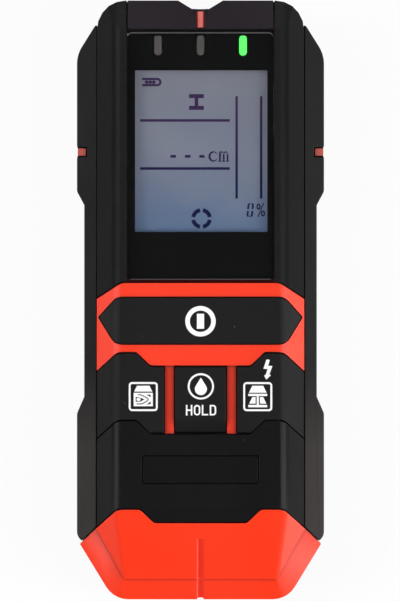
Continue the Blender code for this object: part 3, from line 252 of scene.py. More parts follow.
# Moulded plastic or rubber, with grain, rubbed edges, dust and hand marks of its own amounts
mouldedBase = {
    "roughness": 0.46, "grain": 0.1, "grainScale": 5200.0, "flow": 40.0, "rub": 0.5, "rubRadius": 0.00035,
    "dust": 0.02, "dustColour": (0.35, 0.34, 0.32), "handled": 0.05, "specular": 0.5, "patches": (),
}
mouldedShape = {"ior": 1.48, "dustRoughness": 0.3, "bump": 0.00005, "seamAmount": 0.95}
# the same painted shade over a wider reach, for the foot of steps and for grooves
hollowShadeShape = {"Reach": 0.005, "Open": 0.97, "Closed": 0.72, "Amount": 0.9}


def mouldedFinish(name, given):
    look = {**mouldedBase, **given}
    material, tree, shader = newMaterial(name)
    grain = useGroup(tree, grainGroup, {"Scale": look["grainScale"], "Flow": look["flow"]})
    worn = useGroup(tree, rubbedGroup, {"Radius": look["rubRadius"], "Amount": look["rub"]})["Mask"]
    dust = useGroup(tree, dustGroup, {"Cover": look["dust"]})["Mask"]
    gloss = useGroup(tree, handledGroup, {"Amount": look["handled"]})["Change"]
    colour = blendColour(tree, grain["Tone"], look["colour"], look["shade"])
    colour = blendColour(tree, worn, colour, look["rubColour"])
    colour = blendColour(tree, dust, colour, look["dustColour"])
    # a colour that takes over along Y: painted light on the grips, a change of tint towards the top on the
    # display's segments
    if "ramp" in look:
        colour = blendColour(tree, spread(tree, axes(tree)["Y"], *look["rampFrom"]), colour, look["ramp"])
    # painted shade at the foot of steps and in grooves
    if "hollow" in look:
        hollow = useGroup(tree, seamShadeGroup, hollowShadeShape)["Mask"]
        colour = blendColour(tree, hollow, colour, look["hollow"])
    # painted areas, most of them painted shade
    for area in look["patches"]:
        colour = blendColour(tree, patchMask(tree, area), colour, area["colour"])
    # painted shade in the narrow gaps between pieces
    if "seam" in look:
        seam = useGroup(tree, seamShadeGroup, {"Amount": mouldedShape["seamAmount"]})["Mask"]
        colour = blendColour(tree, seam, colour, look["seam"])
    dusty = calc(tree, "MULTIPLY", dust, mouldedShape["dustRoughness"])
    roughness = calc(tree, "ADD", calc(tree, "ADD", gloss, look["roughness"]), dusty, clamp=True)
    addBump(tree, shader, grain["Height"], look["grain"], mouldedShape["bump"])
    setInputs(tree, shader, {
        "Base Color": colour, "Roughness": roughness, "IOR": mouldedShape["ior"],
        "Specular IOR Level": look["specular"],
    })
    return material


# near-black painted shade for the recess under the mode keys
recessShade = (0.006, 0.003, 0.003)
unlitBlack = (0.001, 0.001, 0.001)

# painted shade in the nose's groove, paler side marks, and painted shade in the recess under the mode keys in
# three areas and in the display's well
redLook = {
    "colour": (0.98, 0.038, 0.004), "shade": (0.93, 0.031, 0.003), "rubColour": (1.0, 0.11, 0.05),
    "grain": 0.12, "dust": 0.012, "dustColour": (0.25, 0.02, 0.01), "hollow": (0.34, 0.014, 0.004),
    "seam": (0.012, 0.002, 0.001), "specular": 0.48,
    "patches": [
        patch((-1.0, 0.95), (-85.0, -66.9), (0.9, 0.024, 0.002), 0.15),
        patch((31.0, 36.0), (40.2, 43.2), (0.55, 0.1, 0.075), 0.1),
        patch((-1.0, 7.3), (-40.0, -19.0), recessShade),
        patch((7.2, 10.2), (-40.0, -37.25), recessShade),
        patch((10.1, 29.3), (-40.0, -21.0), recessShade),
        patch((-1.0, 20.3), (6.2, 75.7), (0.004, 0.004, 0.0042)),
    ],
}
# painted shade on the flanks, and a painted red reflection of the shell on the strip under the window
blackLook = {
    "colour": (0.0155, 0.0147, 0.0156), "shade": (0.0138, 0.0131, 0.0139), "rubColour": (0.03, 0.028, 0.03),
    "roughness": 0.28, "grain": 0.16, "dust": 0.1, "handled": 0.07, "specular": 0.05,
    "patches": [
        patch((23.0, 31.0), (-90.0, 90.0), (0.0096, 0.0091, 0.0097), 1.0),
        patch((-1.0, 20.6), (5.2, 5.9), (0.034, 0.003, 0.004)),
    ],
}
bridgeLook = {
    **blackLook, "colour": (0.0215, 0.017, 0.022), "shade": (0.019, 0.015, 0.0195), "specular": 0.06,
}
# painted shade on the flanks
panelLook = {
    **blackLook, "colour": (0.0098, 0.0094, 0.0096), "shade": (0.0088, 0.0085, 0.0087), "specular": 0.1,
    "roughness": 0.27,
    "patches": [patch((23.0, 31.0), (-90.0, 90.0), (0.0058, 0.0056, 0.0057), 1.0)],
}
# painted shade on the flanks, and painted shade on the unlit outer and lower edges of the mode keys
keyLook = {
    "colour": (0.0132, 0.0124, 0.013), "shade": (0.0115, 0.0108, 0.0113), "rubColour": (0.032, 0.03, 0.03),
    "grain": 0.2, "grainScale": 6500.0, "rub": 0.45, "rubRadius": 0.0003, "dust": 0.13, "handled": 0.06,
    "specular": 0.1,
    "patches": [
        patch((22.8, 31.0), (-40.0, -13.0), (0.0072, 0.0069, 0.0071), 1.2),
        patch((28.8, 31.0), (-40.0, -13.0), unlitBlack, 0.1),
        patch((-1.0, 13.6), (-40.0, -36.65), unlitBlack, 0.1),
    ],
}
# a painted pool of light: the grips grow lighter towards the bottom
gripLook = {
    "colour": (0.0108, 0.0102, 0.0105), "shade": (0.009, 0.0086, 0.0088), "rubColour": (0.03, 0.028, 0.027),
    "roughness": 0.58, "grain": 0.35, "grainScale": 3600.0, "rub": 0.4, "rubRadius": 0.0005,
    "dust": 0.12, "handled": 0.06, "specular": 0.12,
    "ramp": (0.034, 0.03, 0.0285), "rampFrom": (-0.018, -0.042),
}
coverLook = {
    "colour": (0.012, 0.0115, 0.012), "shade": (0.0092, 0.009, 0.0092), "rubColour": (0.04, 0.038, 0.038),
    "roughness": 0.52, "grain": 0.4, "grainScale": 2600.0, "rub": 0.7, "rubRadius": 0.0005,
    "dust": 0.06, "handled": 0.08, "specular": 0.3,
}
plateLook = {
    "colour": (0.0074, 0.0072, 0.0074), "shade": (0.0064, 0.0062, 0.0064), "rubColour": (0.02, 0.02, 0.02),
    "roughness": 0.34, "grainScale": 7000.0, "rub": 0.3, "rubRadius": 0.0002, "dust": 0.1, "specular": 0.1,
}
padLook = {
    "colour": (0.055, 0.054, 0.053), "shade": (0.045, 0.044, 0.043), "rubColour": (0.1, 0.098, 0.095),
    "roughness": 0.75, "grain": 0.5, "grainScale": 1500.0, "rub": 0.6, "rubRadius": 0.0006, "dust": 0.08,
}
whiteLook = {
    "colour": (0.78, 0.79, 0.8), "shade": (0.7, 0.71, 0.72), "rubColour": (0.85, 0.85, 0.85),
    "roughness": 0.4, "grainScale": 4000.0, "rub": 0.2, "rubRadius": 0.0003, "handled": 0.04,
}
chipLook = {
    "colour": (0.014, 0.014, 0.015), "shade": (0.01, 0.01, 0.011), "rubColour": (0.05, 0.05, 0.05),
    "roughness": 0.48, "grain": 0.3, "grainScale": 9000.0, "rub": 0.3, "rubRadius": 0.0002,
    "dust": 0.03, "handled": 0.04,
}
wrapLook = {
    "colour": (0.012, 0.03, 0.1), "shade": (0.01, 0.022, 0.075), "rubColour": (0.3, 0.31, 0.33),
    "roughness": 0.3, "grain": 0.05, "grainScale": 2500.0, "rubRadius": 0.0004, "handled": 0.06,
}
# the centre mark: red plastic painted pale, a painted highlight of the glare on its top
markGlareLook = {**redLook, "colour": (0.74, 0.16, 0.135), "shade": (0.68, 0.14, 0.115), "roughness": 0.3}
# dark red for the red walls in shade beside the centre mark: painted shade
linerShadeLook = {**redLook, "colour": (0.2, 0.009, 0.004), "shade": (0.15, 0.006, 0.003), "specular": 0.1}
maskLook = {
    **plateLook, "colour": (0.0024, 0.0024, 0.0025), "shade": (0.002, 0.002, 0.0021), "grain": 0.02,
    "rub": 0.0, "roughness": 0.5, "specular": 0.05, "dust": 0.03,
}
# near-black strips in the slits between the mouldings: painted shade
slitShadeLook = {
    **padLook, "colour": (0.005, 0.0047, 0.0047), "shade": (0.004, 0.0038, 0.0038), "rub": 0.0,
    "specular": 0.05,
}
# dark strip in the gap round the window: painted shade
windowGapShadeLook = {**slitShadeLook, "colour": (0.02, 0.006, 0.005), "shade": (0.01, 0.004, 0.0035), "dust": 0.0}
# pale grey lines on the window's edges: painted highlights
glintLook = {**plateLook, "colour": (0.12, 0.108, 0.112), "shade": (0.09, 0.081, 0.085), "roughness": 0.5}
inkLook = {
    "colour": (0.96, 0.96, 0.95), "shade": (0.9, 0.9, 0.89), "rubColour": (0.8, 0.8, 0.79),
    "roughness": 0.5, "grain": 0.25, "grainScale": 9000.0, "flow": 260.0, "rub": 0.15, "rubRadius": 0.0001,
    "dustColour": (0.4, 0.4, 0.4),
}
segmentLook = {
    **inkLook, "colour": (0.008, 0.01, 0.062), "shade": (0.007, 0.009, 0.05), "rub": 0.0, "dust": 0.0,
    "specular": 0.05, "ramp": (0.045, 0.022, 0.075), "rampFrom": (0.033, 0.052),
}
mouldedLooks = {
    "redPlastic": redLook, "markRed": markGlareLook, "linerRed": linerShadeLook, "blackPlastic": blackLook,
    "bridgePlastic": bridgeLook, "panelPlastic": panelLook, "keyPlastic": keyLook, "gripRubber": gripLook,
    "coverPlastic": coverLook, "platePlastic": plateLook, "padRubber": padLook, "whitePlastic": whiteLook,
    "chipPlastic": chipLook, "batteryWrap": wrapLook, "maskPrint": maskLook, "sealRubber": slitShadeLook,
    "gasketRubber": windowGapShadeLook, "groundEdge": glintLook, "whiteInk": inkLook, "segmentInk": segmentLook,
}
leadColours = {
    "lead_red": (0.55, 0.02, 0.015), "lead_black": (0.012, 0.012, 0.012), "lead_white": (0.7, 0.7, 0.68),
}
leadShade = 0.8
for leadName, leadColour in leadColours.items():
    leadDark = tuple(part * leadShade for part in leadColour)
    mouldedLooks[leadName] = {**chipLook, "colour": leadColour, "shade": leadDark}

# Bare or plated metal: brushed roughness and a slightly uneven tone
metalBase = {
    "metallic": 1.0, "grainScale": 3500.0, "flow": 300.0, "bump": 0.1,
    "gloss": {"Scale": 400.0, "Amount": 0.12},
}
metalLooks = {
    "copper": {
        "colour": (0.75, 0.32, 0.17), "shade": (0.6, 0.24, 0.12), "roughness": 0.34, "grainScale": 3000.0,
    },
    "steel": {"colour": (0.58, 0.58, 0.6), "shade": (0.45, 0.46, 0.48), "roughness": 0.3},
    "blackZinc": {
        "colour": (0.05, 0.05, 0.054), "shade": (0.03, 0.03, 0.033), "roughness": 0.38, "metallic": 0.8,
    },
}


def metalFinish(name, given):
    look = {**metalBase, **given}
    material, tree, shader = newMaterial(name)
    grain = useGroup(tree, grainGroup, {"Scale": look["grainScale"], "Flow": look["flow"]})
    gloss = useGroup(tree, handledGroup, look["gloss"])["Change"]
    colour = blendColour(tree, grain["Tone"], look["colour"], look["shade"])
    roughness = calc(tree, "ADD", gloss, look["roughness"], clamp=True)
    setInputs(tree, shader, {"Base Color": colour, "Roughness": roughness, "Metallic": look["metallic"]})
    addBump(tree, shader, grain["Height"], look["bump"])
    return material


# Circuit board: tracks show as a lighter pattern under the green varnish
boardLook = {
    "mask": (0.008, 0.1, 0.04), "track": (0.02, 0.2, 0.08), "roughness": 0.35, "bump": 0.3, "offset": 0.37,
    "tracks": {"Scale": 260.0, "Mortar Size": 0.09, "Row Height": 0.35},
    "grain": {"Scale": 5000.0, "Flow": 120.0},
}


def boardFinish(name, look):
    material, tree, shader = newMaterial(name)
    inputs = {"Vector": place(tree), **look["tracks"]}
    bricks = addNode(tree, "ShaderNodeTexBrick", inputs, offset=look["offset"]).outputs["Fac"]
    tracks = calc(tree, "MULTIPLY", bricks, useGroup(tree, grainGroup, look["grain"])["Tone"])
    colour = blendColour(tree, tracks, look["mask"], look["track"])
    setInputs(tree, shader, {"Base Color": colour, "Roughness": look["roughness"]})
    addBump(tree, shader, bricks, look["bump"])
    return material


# Clear window: light reaches what lies under it, and its top still shines
lensLook = {
    "tint": (0.97, 0.98, 0.99), "roughness": 0.02, "ior": 1.49, "gloss": {"Scale": 90.0, "Amount": 0.02},
}


def lensFinish(name, look):
    material, tree, shader = newMaterial(name)
    gloss = useGroup(tree, handledGroup, look["gloss"])["Change"]
    roughness = calc(tree, "ADD", gloss, look["roughness"], clamp=True)
    setInputs(tree, shader, {
        "Base Color": look["tint"], "Roughness": roughness, "IOR": look["ior"], "Transmission Weight": 1.0,
    })
    through = addNode(tree, "ShaderNodeBsdfTransparent", {"Color": look["tint"]}).outputs[0]
    rays = addNode(tree, "ShaderNodeLightPath").outputs
    lightRay = calc(tree, "MAXIMUM", rays["Is Shadow Ray"], rays["Is Diffuse Ray"])
    surface = mixShaders(tree, lightRay, shader.outputs[0], through)
    feed(tree, tree.nodes["Material Output"].inputs["Surface"], surface)
    return material


def addGlow(tree, shader, colour, look):
    setInputs(tree, shader, {
        "Base Color": colour, "Emission Color": colour, "Emission Strength": look["glow"],
        "Roughness": look["roughness"],
    })


# Segment display: lilac grey at the top, bluer at the foot, with soft clouds and the backlight's own glow
displayLook = {
    "upper": (0.16, 0.163, 0.194), "middle": (0.132, 0.149, 0.206), "lower": (0.086, 0.132, 0.221),
    "lowBand": (0.03, 0.45), "highBand": (0.45, 0.95), "cloud": (0.185, 0.195, 0.232), "cloudScale": 38.0,
    "cloudDetail": 4.0, "cloudCover": (0.45, 0.75, 0.0, 0.6), "glow": 0.35, "roughness": 0.22,
}


def displayFinish(name, look):
    material, tree, shader = newMaterial(name)
    low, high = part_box("lcd_panel")
    climb = spread(tree, axes(tree)["Y"], low.y, high.y)
    colour = blendColour(tree, spread(tree, climb, *look["lowBand"]), look["lower"], look["middle"])
    colour = blendColour(tree, spread(tree, climb, *look["highBand"]), colour, look["upper"])
    noise = noiseAt(tree, place(tree), look["cloudScale"], look["cloudDetail"])
    colour = blendColour(tree, spread(tree, noise, *look["cloudCover"]), colour, look["cloud"])
    addGlow(tree, shader, colour, look)
    return material


# Light pipe: cloudy plastic with its own glow
lampBase = {"roughness": 0.3, "bump": 0.15, "haze": {"Scale": 2500.0, "Flow": 900.0}}
lampLooks = {
    "lampGrey": {**lampBase, "colour": (0.072, 0.064, 0.058), "core": (0.09, 0.083, 0.076), "glow": 0.0},
    "lampGreen": {**lampBase, "colour": (0.06, 0.7, 0.08), "core": (0.13, 0.95, 0.15), "glow": 0.75},
}


def lampFinish(name, look):
    material, tree, shader = newMaterial(name)
    haze = useGroup(tree, grainGroup, look["haze"])
    addGlow(tree, shader, blendColour(tree, haze["Tone"], look["core"], look["colour"]), look)
    addBump(tree, shader, haze["Height"], look["bump"])
    return material


finishLooks = [
    (mouldedFinish, mouldedLooks), (metalFinish, metalLooks), (boardFinish, {"greenBoard": boardLook}),
    (lensFinish, {"clearWindow": lensLook}), (displayFinish, {"displayGlass": displayLook}),
    (lampFinish, lampLooks),
]
finishes = {}
for makeFinish, looks in finishLooks:
    for finishName, finishLook in looks.items():
        finishes[finishName] = makeFinish(finishName, finishLook)
print("finishes ready:", len(finishes))


# Which parts take each finish, by how their names start: the first that fits counts
nodeFinishes = {
    "redPlastic": "front_shell", "markRed": "centre_marker", "gripRubber": "grip_", "padRubber": "glide_pad_",
    "coverPlastic": ("back_cover", "battery_door"), "batteryWrap": "battery", "bridgePlastic": "top_bridge",
    "panelPlastic": "lower_panel", "platePlastic": "label_plate",
    "keyPlastic": ("power_button", "wood_button", "hold_button", "metal_button"),
    "clearWindow": "display_lens", "maskPrint": "display_mask", "displayGlass": "lcd_panel",
    "whitePlastic": "lcd_", "lampGreen": ("light_pipe_right", "led_right"),
    "lampGrey": ("light_pipe_", "led_"), "greenBoard": ("main_board", "sensor_board"),
    "chipPlastic": ("controller_chip", "buzzer", "switch_", "snap_connector", "board_link"),
    "copper": ("stud_plate_", "sensor_coil", "moisture_plate"), "steel": ("plunger_", "board_screw_"),
    "blackZinc": "case_screw_", "lead_red": "lead_positive", "lead_black": "lead_negative",
    "lead_white": "lead_moisture",
}


def finishOf(node):
    for finish, starts in nodeFinishes.items():
        if node.startswith(starts):
            return finishes[finish]
    return finishes["blackPlastic"]


for nodeName, nodeObject in nodes.items():
    nodeObject.data.materials.clear()
    nodeObject.data.materials.append(finishOf(nodeName))


def addObject(name, data):
    added = bpy.data.objects.new(name, data)
    bpy.context.scene.collection.objects.link(added)
    return added


def newPiece(name, builder, material):
    mesh = bpy.data.meshes.new(name)
    builder.to_mesh(mesh)
    builder.free()
    if "custom_normal" in mesh.attributes:
        mesh.attributes.remove(mesh.attributes["custom_normal"])
    mesh.materials.append(material)
    return addObject(name, mesh)


# A piece that belongs to a part: it rides on the part's body and goes in a material slot
def addedPiece(name, builder, finish, node):
    piece = newPiece(name, builder, finishes[finish])
    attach(piece, bodyOf[node])
    return piece


# Outer mouldings: the part's own shape, with the small radius that a tool leaves on every outer edge, in
# millimetres by how the part's name starts
edgeSizes = {
    "front_shell": 0.12, "upper_bezel": 0.2, "top_bridge": 0.13, "lower_panel": 0.14, "label_plate": 0.12,
    "centre_marker": 0.1, "grip_": 0.4, "power_button": 0.16, "wood_button": 0.16, "hold_button": 0.3,
    "metal_button": 0.16, "back_cover": 0.18, "battery_door": 0.2, "glide_pad_": 0.25, "light_pipe_": 0.2,
}
# lengths in millimetres and angles in degrees
edgeLook = {
    "weld": 0.002, "flat": 3.6, "sideways": 0.7, "cut": 1e-7, "straight": -0.9999, "sharp": 19.5,
    "clear": 0.05, "steps": 3, "profile": 0.5, "smooth": 50.0,
}


# Faces that lie in one plane, gathered up to the given barriers
def flatRegions(builder, barriers):
    limit = math.radians(edgeLook["flat"])
    builder.faces.index_update()
    order = sorted(builder.faces, key=lambda face: (-face.calc_area(), face.index))
    waiting = set(order)
    regions = []
    for first in order:
        if first not in waiting:
            continue
        waiting.discard(first)
        region = [first]
        for face in region:
            for edge in face.edges:
                if edge in barriers:
                    continue
                for other in edge.link_faces:
                    if other in waiting and other.normal.angle(first.normal, math.pi) < limit:
                        waiting.discard(other)
                        region.append(other)
        regions.append(region)
    return regions


# Closed lines round a region, the outer one first
def rimLoops(region, barriers):
    inside = set(region)
    links = {}
    for face in region:
        for edge in face.edges:
            if edge in barriers or sum(other in inside for other in edge.link_faces) == 1:
                for corner in edge.verts:
                    links.setdefault(corner, []).append(edge)
    loops = []
    while links:
        loop = [next(iter(links))]
        for corner in loop:
            for edge in links.pop(corner):
                other = edge.other_vert(corner)
                if other not in loop:
                    loop.append(other)
        loops.append([corner.co.copy() for corner in loop])
    return sorted(loops, key=loopSpan, reverse=True)


def loopSpan(loop):
    return sum(max(point[axis] for point in loop) - min(point[axis] for point in loop) for axis in range(3))


# Joins the triangles of each flat face, after cutting through the holes in it
def joinFlatFaces(builder):
    barriers = set()
    for region in flatRegions(builder, barriers):
        across = Vector((0, 1, 0)) if abs(region[0].normal.x) > edgeLook["sideways"] else Vector((1, 0, 0))
        for hole in rimLoops(region, barriers)[1:]:
            middle = sum(hole, Vector()) / len(hole)
            faces = [face for face in region if face.is_valid]
            around = faces + list(dict.fromkeys(edge for face in faces for edge in face.edges))
            around += list(dict.fromkeys(corner for face in faces for corner in face.verts))
            result = bmesh.ops.bisect_plane(builder, geom=around, dist=edgeLook["cut"], plane_co=middle,
                                            plane_no=across)
            region = [item for item in result["geom"] if isinstance(item, bmesh.types.BMFace)]
            barriers.update(item for item in result["geom_cut"] if isinstance(item, bmesh.types.BMEdge))
    for region in flatRegions(builder, barriers):
        if len(region) > 1:
            bmesh.ops.dissolve_faces(builder, faces=region)
    straight = []
    for corner in builder.verts:
        if len(corner.link_edges) == 2:
            first, second = [edge.other_vert(corner).co - corner.co for edge in corner.link_edges]
            first.normalize()
            second.normalize()
            if first.dot(second) < edgeLook["straight"]:
                straight.append(corner)
    bmesh.ops.dissolve_verts(builder, verts=straight)


# All the parts as one body to look out from
def gatherParts():
    corners = []
    faces = []
    for part in nodes.values():
        start = len(corners)
        corners += [corner.co.copy() for corner in part.data.vertices]
        faces += [[start + index for index in face.vertices] for face in part.data.polygons]
    return BVHTree.FromPolygons(corners, faces)


# Corners that stick out and have nothing in front of them
def outerEdges(builder, parts):
    limit = math.radians(edgeLook["sharp"])
    chosen = []
    for edge in builder.edges:
        if not edge.is_manifold or edge.calc_face_angle_signed() < limit:
            continue
        away = (edge.link_faces[0].normal + edge.link_faces[1].normal).normalized()
        middle = (edge.verts[0].co + edge.verts[1].co) / 2
        if parts.ray_cast(middle + away * edgeLook["clear"] * mm, away)[0] is None:
            chosen.append(edge)
    return chosen


def smoothBends(piece):
    piece.data.shade_smooth()
    piece.data.set_sharp_from_angle(angle=math.radians(edgeLook["smooth"]))


def mouldedPiece(node, width, parts):
    builder = bmesh.new()
    builder.from_mesh(nodes[node].data)
    bmesh.ops.remove_doubles(builder, verts=builder.verts, dist=edgeLook["weld"] * mm)
    joinFlatFaces(builder)
    bmesh.ops.bevel(builder, geom=outerEdges(builder, parts), offset=width * mm, offset_type="OFFSET",
                    segments=edgeLook["steps"], profile=edgeLook["profile"], affect="EDGES",
                    clamp_overlap=False)
    piece = newPiece(node + "_moulding", builder, finishOf(node))
    smoothBends(piece)
    weighted = piece.modifiers.new("flatFaces", "WEIGHTED_NORMAL")
    weighted.keep_sharp = True
    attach(piece, bodyOf[node])
    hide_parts(node)


allParts = gatherParts()
nodeEdges = {node: width for start, width in edgeSizes.items() for node in nodes if node.startswith(start)}
for nodeName, edgeWidth in nodeEdges.items():
    mouldedPiece(nodeName, edgeWidth, allParts)
print("mouldings finished:", len(nodeEdges))


# Flat artwork: closed outlines in millimetres, where an outline inside another is a hole
cornerSteps = 6
flatWeld = 0.001


def arc(x, y, radius, start=0.0, end=360.0, steps=40, squeeze=1.0):
    points = []
    for step in range(steps + 1):
        angle = math.radians(start + (end - start) * step / steps)
        points.append((x + radius * squeeze * math.cos(angle), y + radius * math.sin(angle)))
    return points


def circle(x, y, radius, squeeze=1.0):
    return arc(x, y, radius, squeeze=squeeze)[:-1]


def rectangle(x0, y0, x1, y1):
    return [(x0, y0), (x1, y0), (x1, y1), (x0, y1)]


def roundedBox(x0, y0, x1, y1, radius):
    points = []
    for x, y, start in ((x1, y1, 0), (x0, y1, 90), (x0, y0, 180), (x1, y0, 270)):
        inX = x - radius if x == x1 else x + radius
        inY = y - radius if y == y1 else y + radius
        points += arc(inX, inY, radius, start, start + 90, cornerSteps)
    return points


# a line of even width through points
def stroke(points, width):
    left = []
    right = []
    for index, point in enumerate(points):
        before = Vector(points[max(index - 1, 0)])
        after = Vector(points[min(index + 1, len(points) - 1)])
        along = (after - before).normalized()
        across = Vector((-along.y, along.x)) * width / 2
        left.append(tuple(Vector(point) + across))
        right.append(tuple(Vector(point) - across))
    return right + left[::-1]


def shifted(outlines, x, y):
    return [[(px + x, py + y) for px, py in outline] for outline in outlines]


# Outlines filled as one thin solid, a layer between two heights in millimetres above a level
def flatPiece(name, outlines, level, layer, finish, node):
    low, high = layer
    curve = bpy.data.curves.new(name, "CURVE")
    curve.dimensions = "2D"
    curve.fill_mode = "BOTH"
    curve.extrude = (high - low) / 2
    for outline in outlines:
        spline = curve.splines.new("POLY")
        spline.points.add(len(outline) - 1)
        spline.use_cyclic_u = True
        for point, (x, y) in zip(spline.points, outline):
            point.co = (x, y, 0.0, 1.0)
    draft = bpy.data.objects.new(name, curve)
    mesh = bpy.data.meshes.new_from_object(draft)
    bpy.data.objects.remove(draft)
    builder = bmesh.new()
    builder.from_mesh(mesh)
    bmesh.ops.remove_doubles(builder, verts=builder.verts, dist=flatWeld)
    middle = Matrix.Translation((0.0, 0.0, level + (low + high) / 2 * mm))
    bmesh.ops.transform(builder, matrix=middle @ Matrix.Scale(mm, 4), verts=builder.verts)
    bmesh.ops.recalc_face_normals(builder, faces=builder.faces)
    addedPiece(name, builder, finish, node)


# Prints on the key caps, each sign about its own middle
inkLayer = (-0.02, 0.03)
powerSign = {"ring": (4.27, 2.98), "bar": (-1.01, -2.1, 1.01, 2.1)}
frameSign = {"half": 4.06, "line": 0.54, "radius": 0.97}
dropSign = {"ring": (3.68, 3.14), "round": 1.7, "low": -0.75, "tip": 2.45}
wordSign = {"height": 2.95, "width": 1.8, "gap": 0.42, "line": 0.44, "bend": 0.48}


def ringOutlines(look):
    return [circle(0, 0, radius) for radius in look["ring"]]


def powerPrint(look):
    return ringOutlines(look) + [rectangle(*look["bar"])]


def framePrint(look):
    outlines = []
    for inset in (0.0, look["line"]):
        half = look["half"] - inset
        outlines.append(roundedBox(-half, -half, half, half, look["radius"] - inset))
    return outlines


# a wall sheet over the grain of a timber's end
woodSign = {
    "sheet": [(-2.58, 1.39), (2.58, 1.39), (1.73, 3.03), (-1.73, 3.03)],
    "block": (-2.69, -2.71, 2.69, 1.06),
    "grain": [
        (-1.87, -2.01), (-1.1, -2.08), (-0.45, -2.03), (0.19, -1.77), (0.84, -1.39), (1.28, -1.05),
        (1.42, -0.8), (1.1, -0.42), (0.45, -0.03), (-0.32, 0.35), (-1.0, 0.5), (-1.5, 0.52),
    ],
    "line": 0.26,
    "heart": [
        (-2.1, -0.13), (-1.35, -0.19), (-0.45, -0.45), (0.35, -0.77), (-0.32, -1.16), (-0.84, -1.43),
        (-2.1, -1.48),
    ],
    "knot": (-1.32, -0.81, 0.46, 1.3),
    "corners": [
        [(0.87, 0.52), (2.05, 0.52), (2.05, -0.19), (1.48, 0.19)],
        [(2.05, -1.29), (2.05, -2.12), (0.94, -2.23), (1.48, -1.81)],
    ],
}


def woodPrint(look):
    grain = stroke(look["grain"], look["line"])
    outlines = [look["sheet"], rectangle(*look["block"]), grain, look["heart"], circle(*look["knot"])]
    return outlines + look["corners"]


# a wall sheet over a rolled steel section, with the arrow for live wires above the frame
metalSign = {
    "sheet": [(-2.49, 1.09), (2.49, 1.09), (1.52, 3.04), (-1.52, 3.04)],
    "section": [
        (-2.67, 0.8), (-2.67, 0.17), (-0.3, 0.17), (-0.3, -2.29), (-2.64, -2.29), (-2.64, -2.98),
        (2.64, -2.98), (2.64, -2.29), (0.3, -2.29), (0.3, 0.17), (2.67, 0.17), (2.67, 0.8),
    ],
    "right": [(0.6, -1.95), (2.41, -1.95), (1.51, -0.1), (0.6, -0.1)],
    "arrow": [
        (2.45, 10.4), (3.37, 10.28), (2.91, 8.62), (4.11, 8.56), (3.25, 6.21), (3.71, 5.98), (2.39, 4.78),
        (1.76, 5.93), (2.22, 6.1), (2.74, 7.7), (1.59, 7.82),
    ],
}


def metalPrint(look):
    left = [(-x, y) for x, y in look["right"]]
    return [look["sheet"], look["section"], look["right"], left, look["arrow"]]


# a water drop in a ring
def dropPrint(look):
    reach = math.degrees(math.acos(look["round"] / (look["tip"] - look["low"])))
    drop = arc(0, look["low"], look["round"], 90 + reach, 450 - reach)
    return ringOutlines(look) + [drop + [(0, look["tip"])]]


# upright letters of even line for the key that keeps a reading
def letterOutlines(letter, look):
    width, height, line = look["width"], look["height"], look["line"]
    if letter == "H":
        low, high = [(height + side * line) / 2 for side in (-1, 1)]
        right = [(width - line, 0), (width, 0), (width, height), (width - line, height), (width - line, high)]
        left = [(line, high), (line, height), (0, height), (0, 0), (line, 0), (line, low)]
        return [right + left + [(width - line, low)]]
    if letter == "L":
        return [[(0, 0), (width, 0), (width, line), (line, line), (line, height), (0, height)]]
    outlines = []
    for inset in (0, line):
        radius = width * look["bend"] - inset
        outline = roundedBox(inset, inset, width - inset, height - inset, radius)
        if letter == "D":
            upper = [(x, y) for x, y in outline if x > width / 2 and y > height / 2]
            lower = [(x, y) for x, y in outline if x > width / 2 and y < height / 2]
            outline = upper + [(inset, height - inset), (inset, inset)] + lower
        outlines.append(outline)
    return outlines


def wordPrint(word, look):
    step = look["width"] + look["gap"]
    start = -(step * len(word) - look["gap"]) / 2
    outlines = []
    for index, letter in enumerate(word):
        outlines += shifted(letterOutlines(letter, look), start + index * step, -look["height"] / 2)
    return outlines


keyPrints = {
    "power_button": [(powerPrint(powerSign), 0.0, -5.8)],
    "wood_button": [(framePrint(frameSign) + woodPrint(woodSign), -16.0, -26.85)],
    "metal_button": [(framePrint(frameSign) + metalPrint(metalSign), 16.0, -26.87)],
    "hold_button": [(dropPrint(dropSign), 0.1, -24.0), (wordPrint("HOLD", wordSign), 0.15, -30.65)],
}
for keyName, signs in keyPrints.items():
    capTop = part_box(keyName)[1].z
    keyOutlines = [outline for sign, x, y in signs for outline in shifted(sign, x, y)]
    flatPiece(keyName + "_print", keyOutlines, capTop, inkLayer, "whiteInk", keyName)
print("key prints done:", len(keyPrints))


# Segments of the display, in millimetres on the glass
segmentLayer = (0.005, 0.025)
displaySigns = {
    "rules": [(-16.92, 50.45, 8.2), (-16.92, 36.98, 8.2)],
    "ruleWidth": 0.72,
    "posts": [(10.12, 28.57, 57.25), (17.0, 28.57, 57.25)],
    "postWidth": 0.66,
    "dashes": [(-8.43, -6.88), (-4.36, -2.78), (-0.35, 1.14)],
    "dashLevel": (40.02, 40.76),
}
targetSign = {"at": (0.28, 22.98), "radius": 2.34, "line": 1.1, "gap": 9.5, "steps": 12}
beamSign = {"box": (-3.21, 53.4, 0.94, 57.83), "flange": 1.14, "web": 0.5}
batterySign = {
    "lips": [(-16.3, 62.24), (-16.0, 62.06), (-16.0, 60.34), (-16.3, 60.16)],
    "turn": (-12.1, 61.2, 0.86, 90, -90, 12), "line": 0.64, "cells": (-15.1, -14.08, -13.06),
    "cell": (61.18, 0.49, 1.05),
}
unitSign = {
    "bowl": (3.56, 40.36, 1.46, 26, 326, 24, 0.92), "inner": (3.76, 40.36, 1.1, 322, 52, 24, 0.88),
    "stems": [(5.42, 41.75), (6.5, 41.1), (7.58, 41.1)], "stem": 0.23, "foot": 0.48, "feet": (38.88, 39.1),
    "joins": (5.99, 7.07), "join": (41.2, 0.42, 176, 24, 8), "joinLine": 0.34,
}
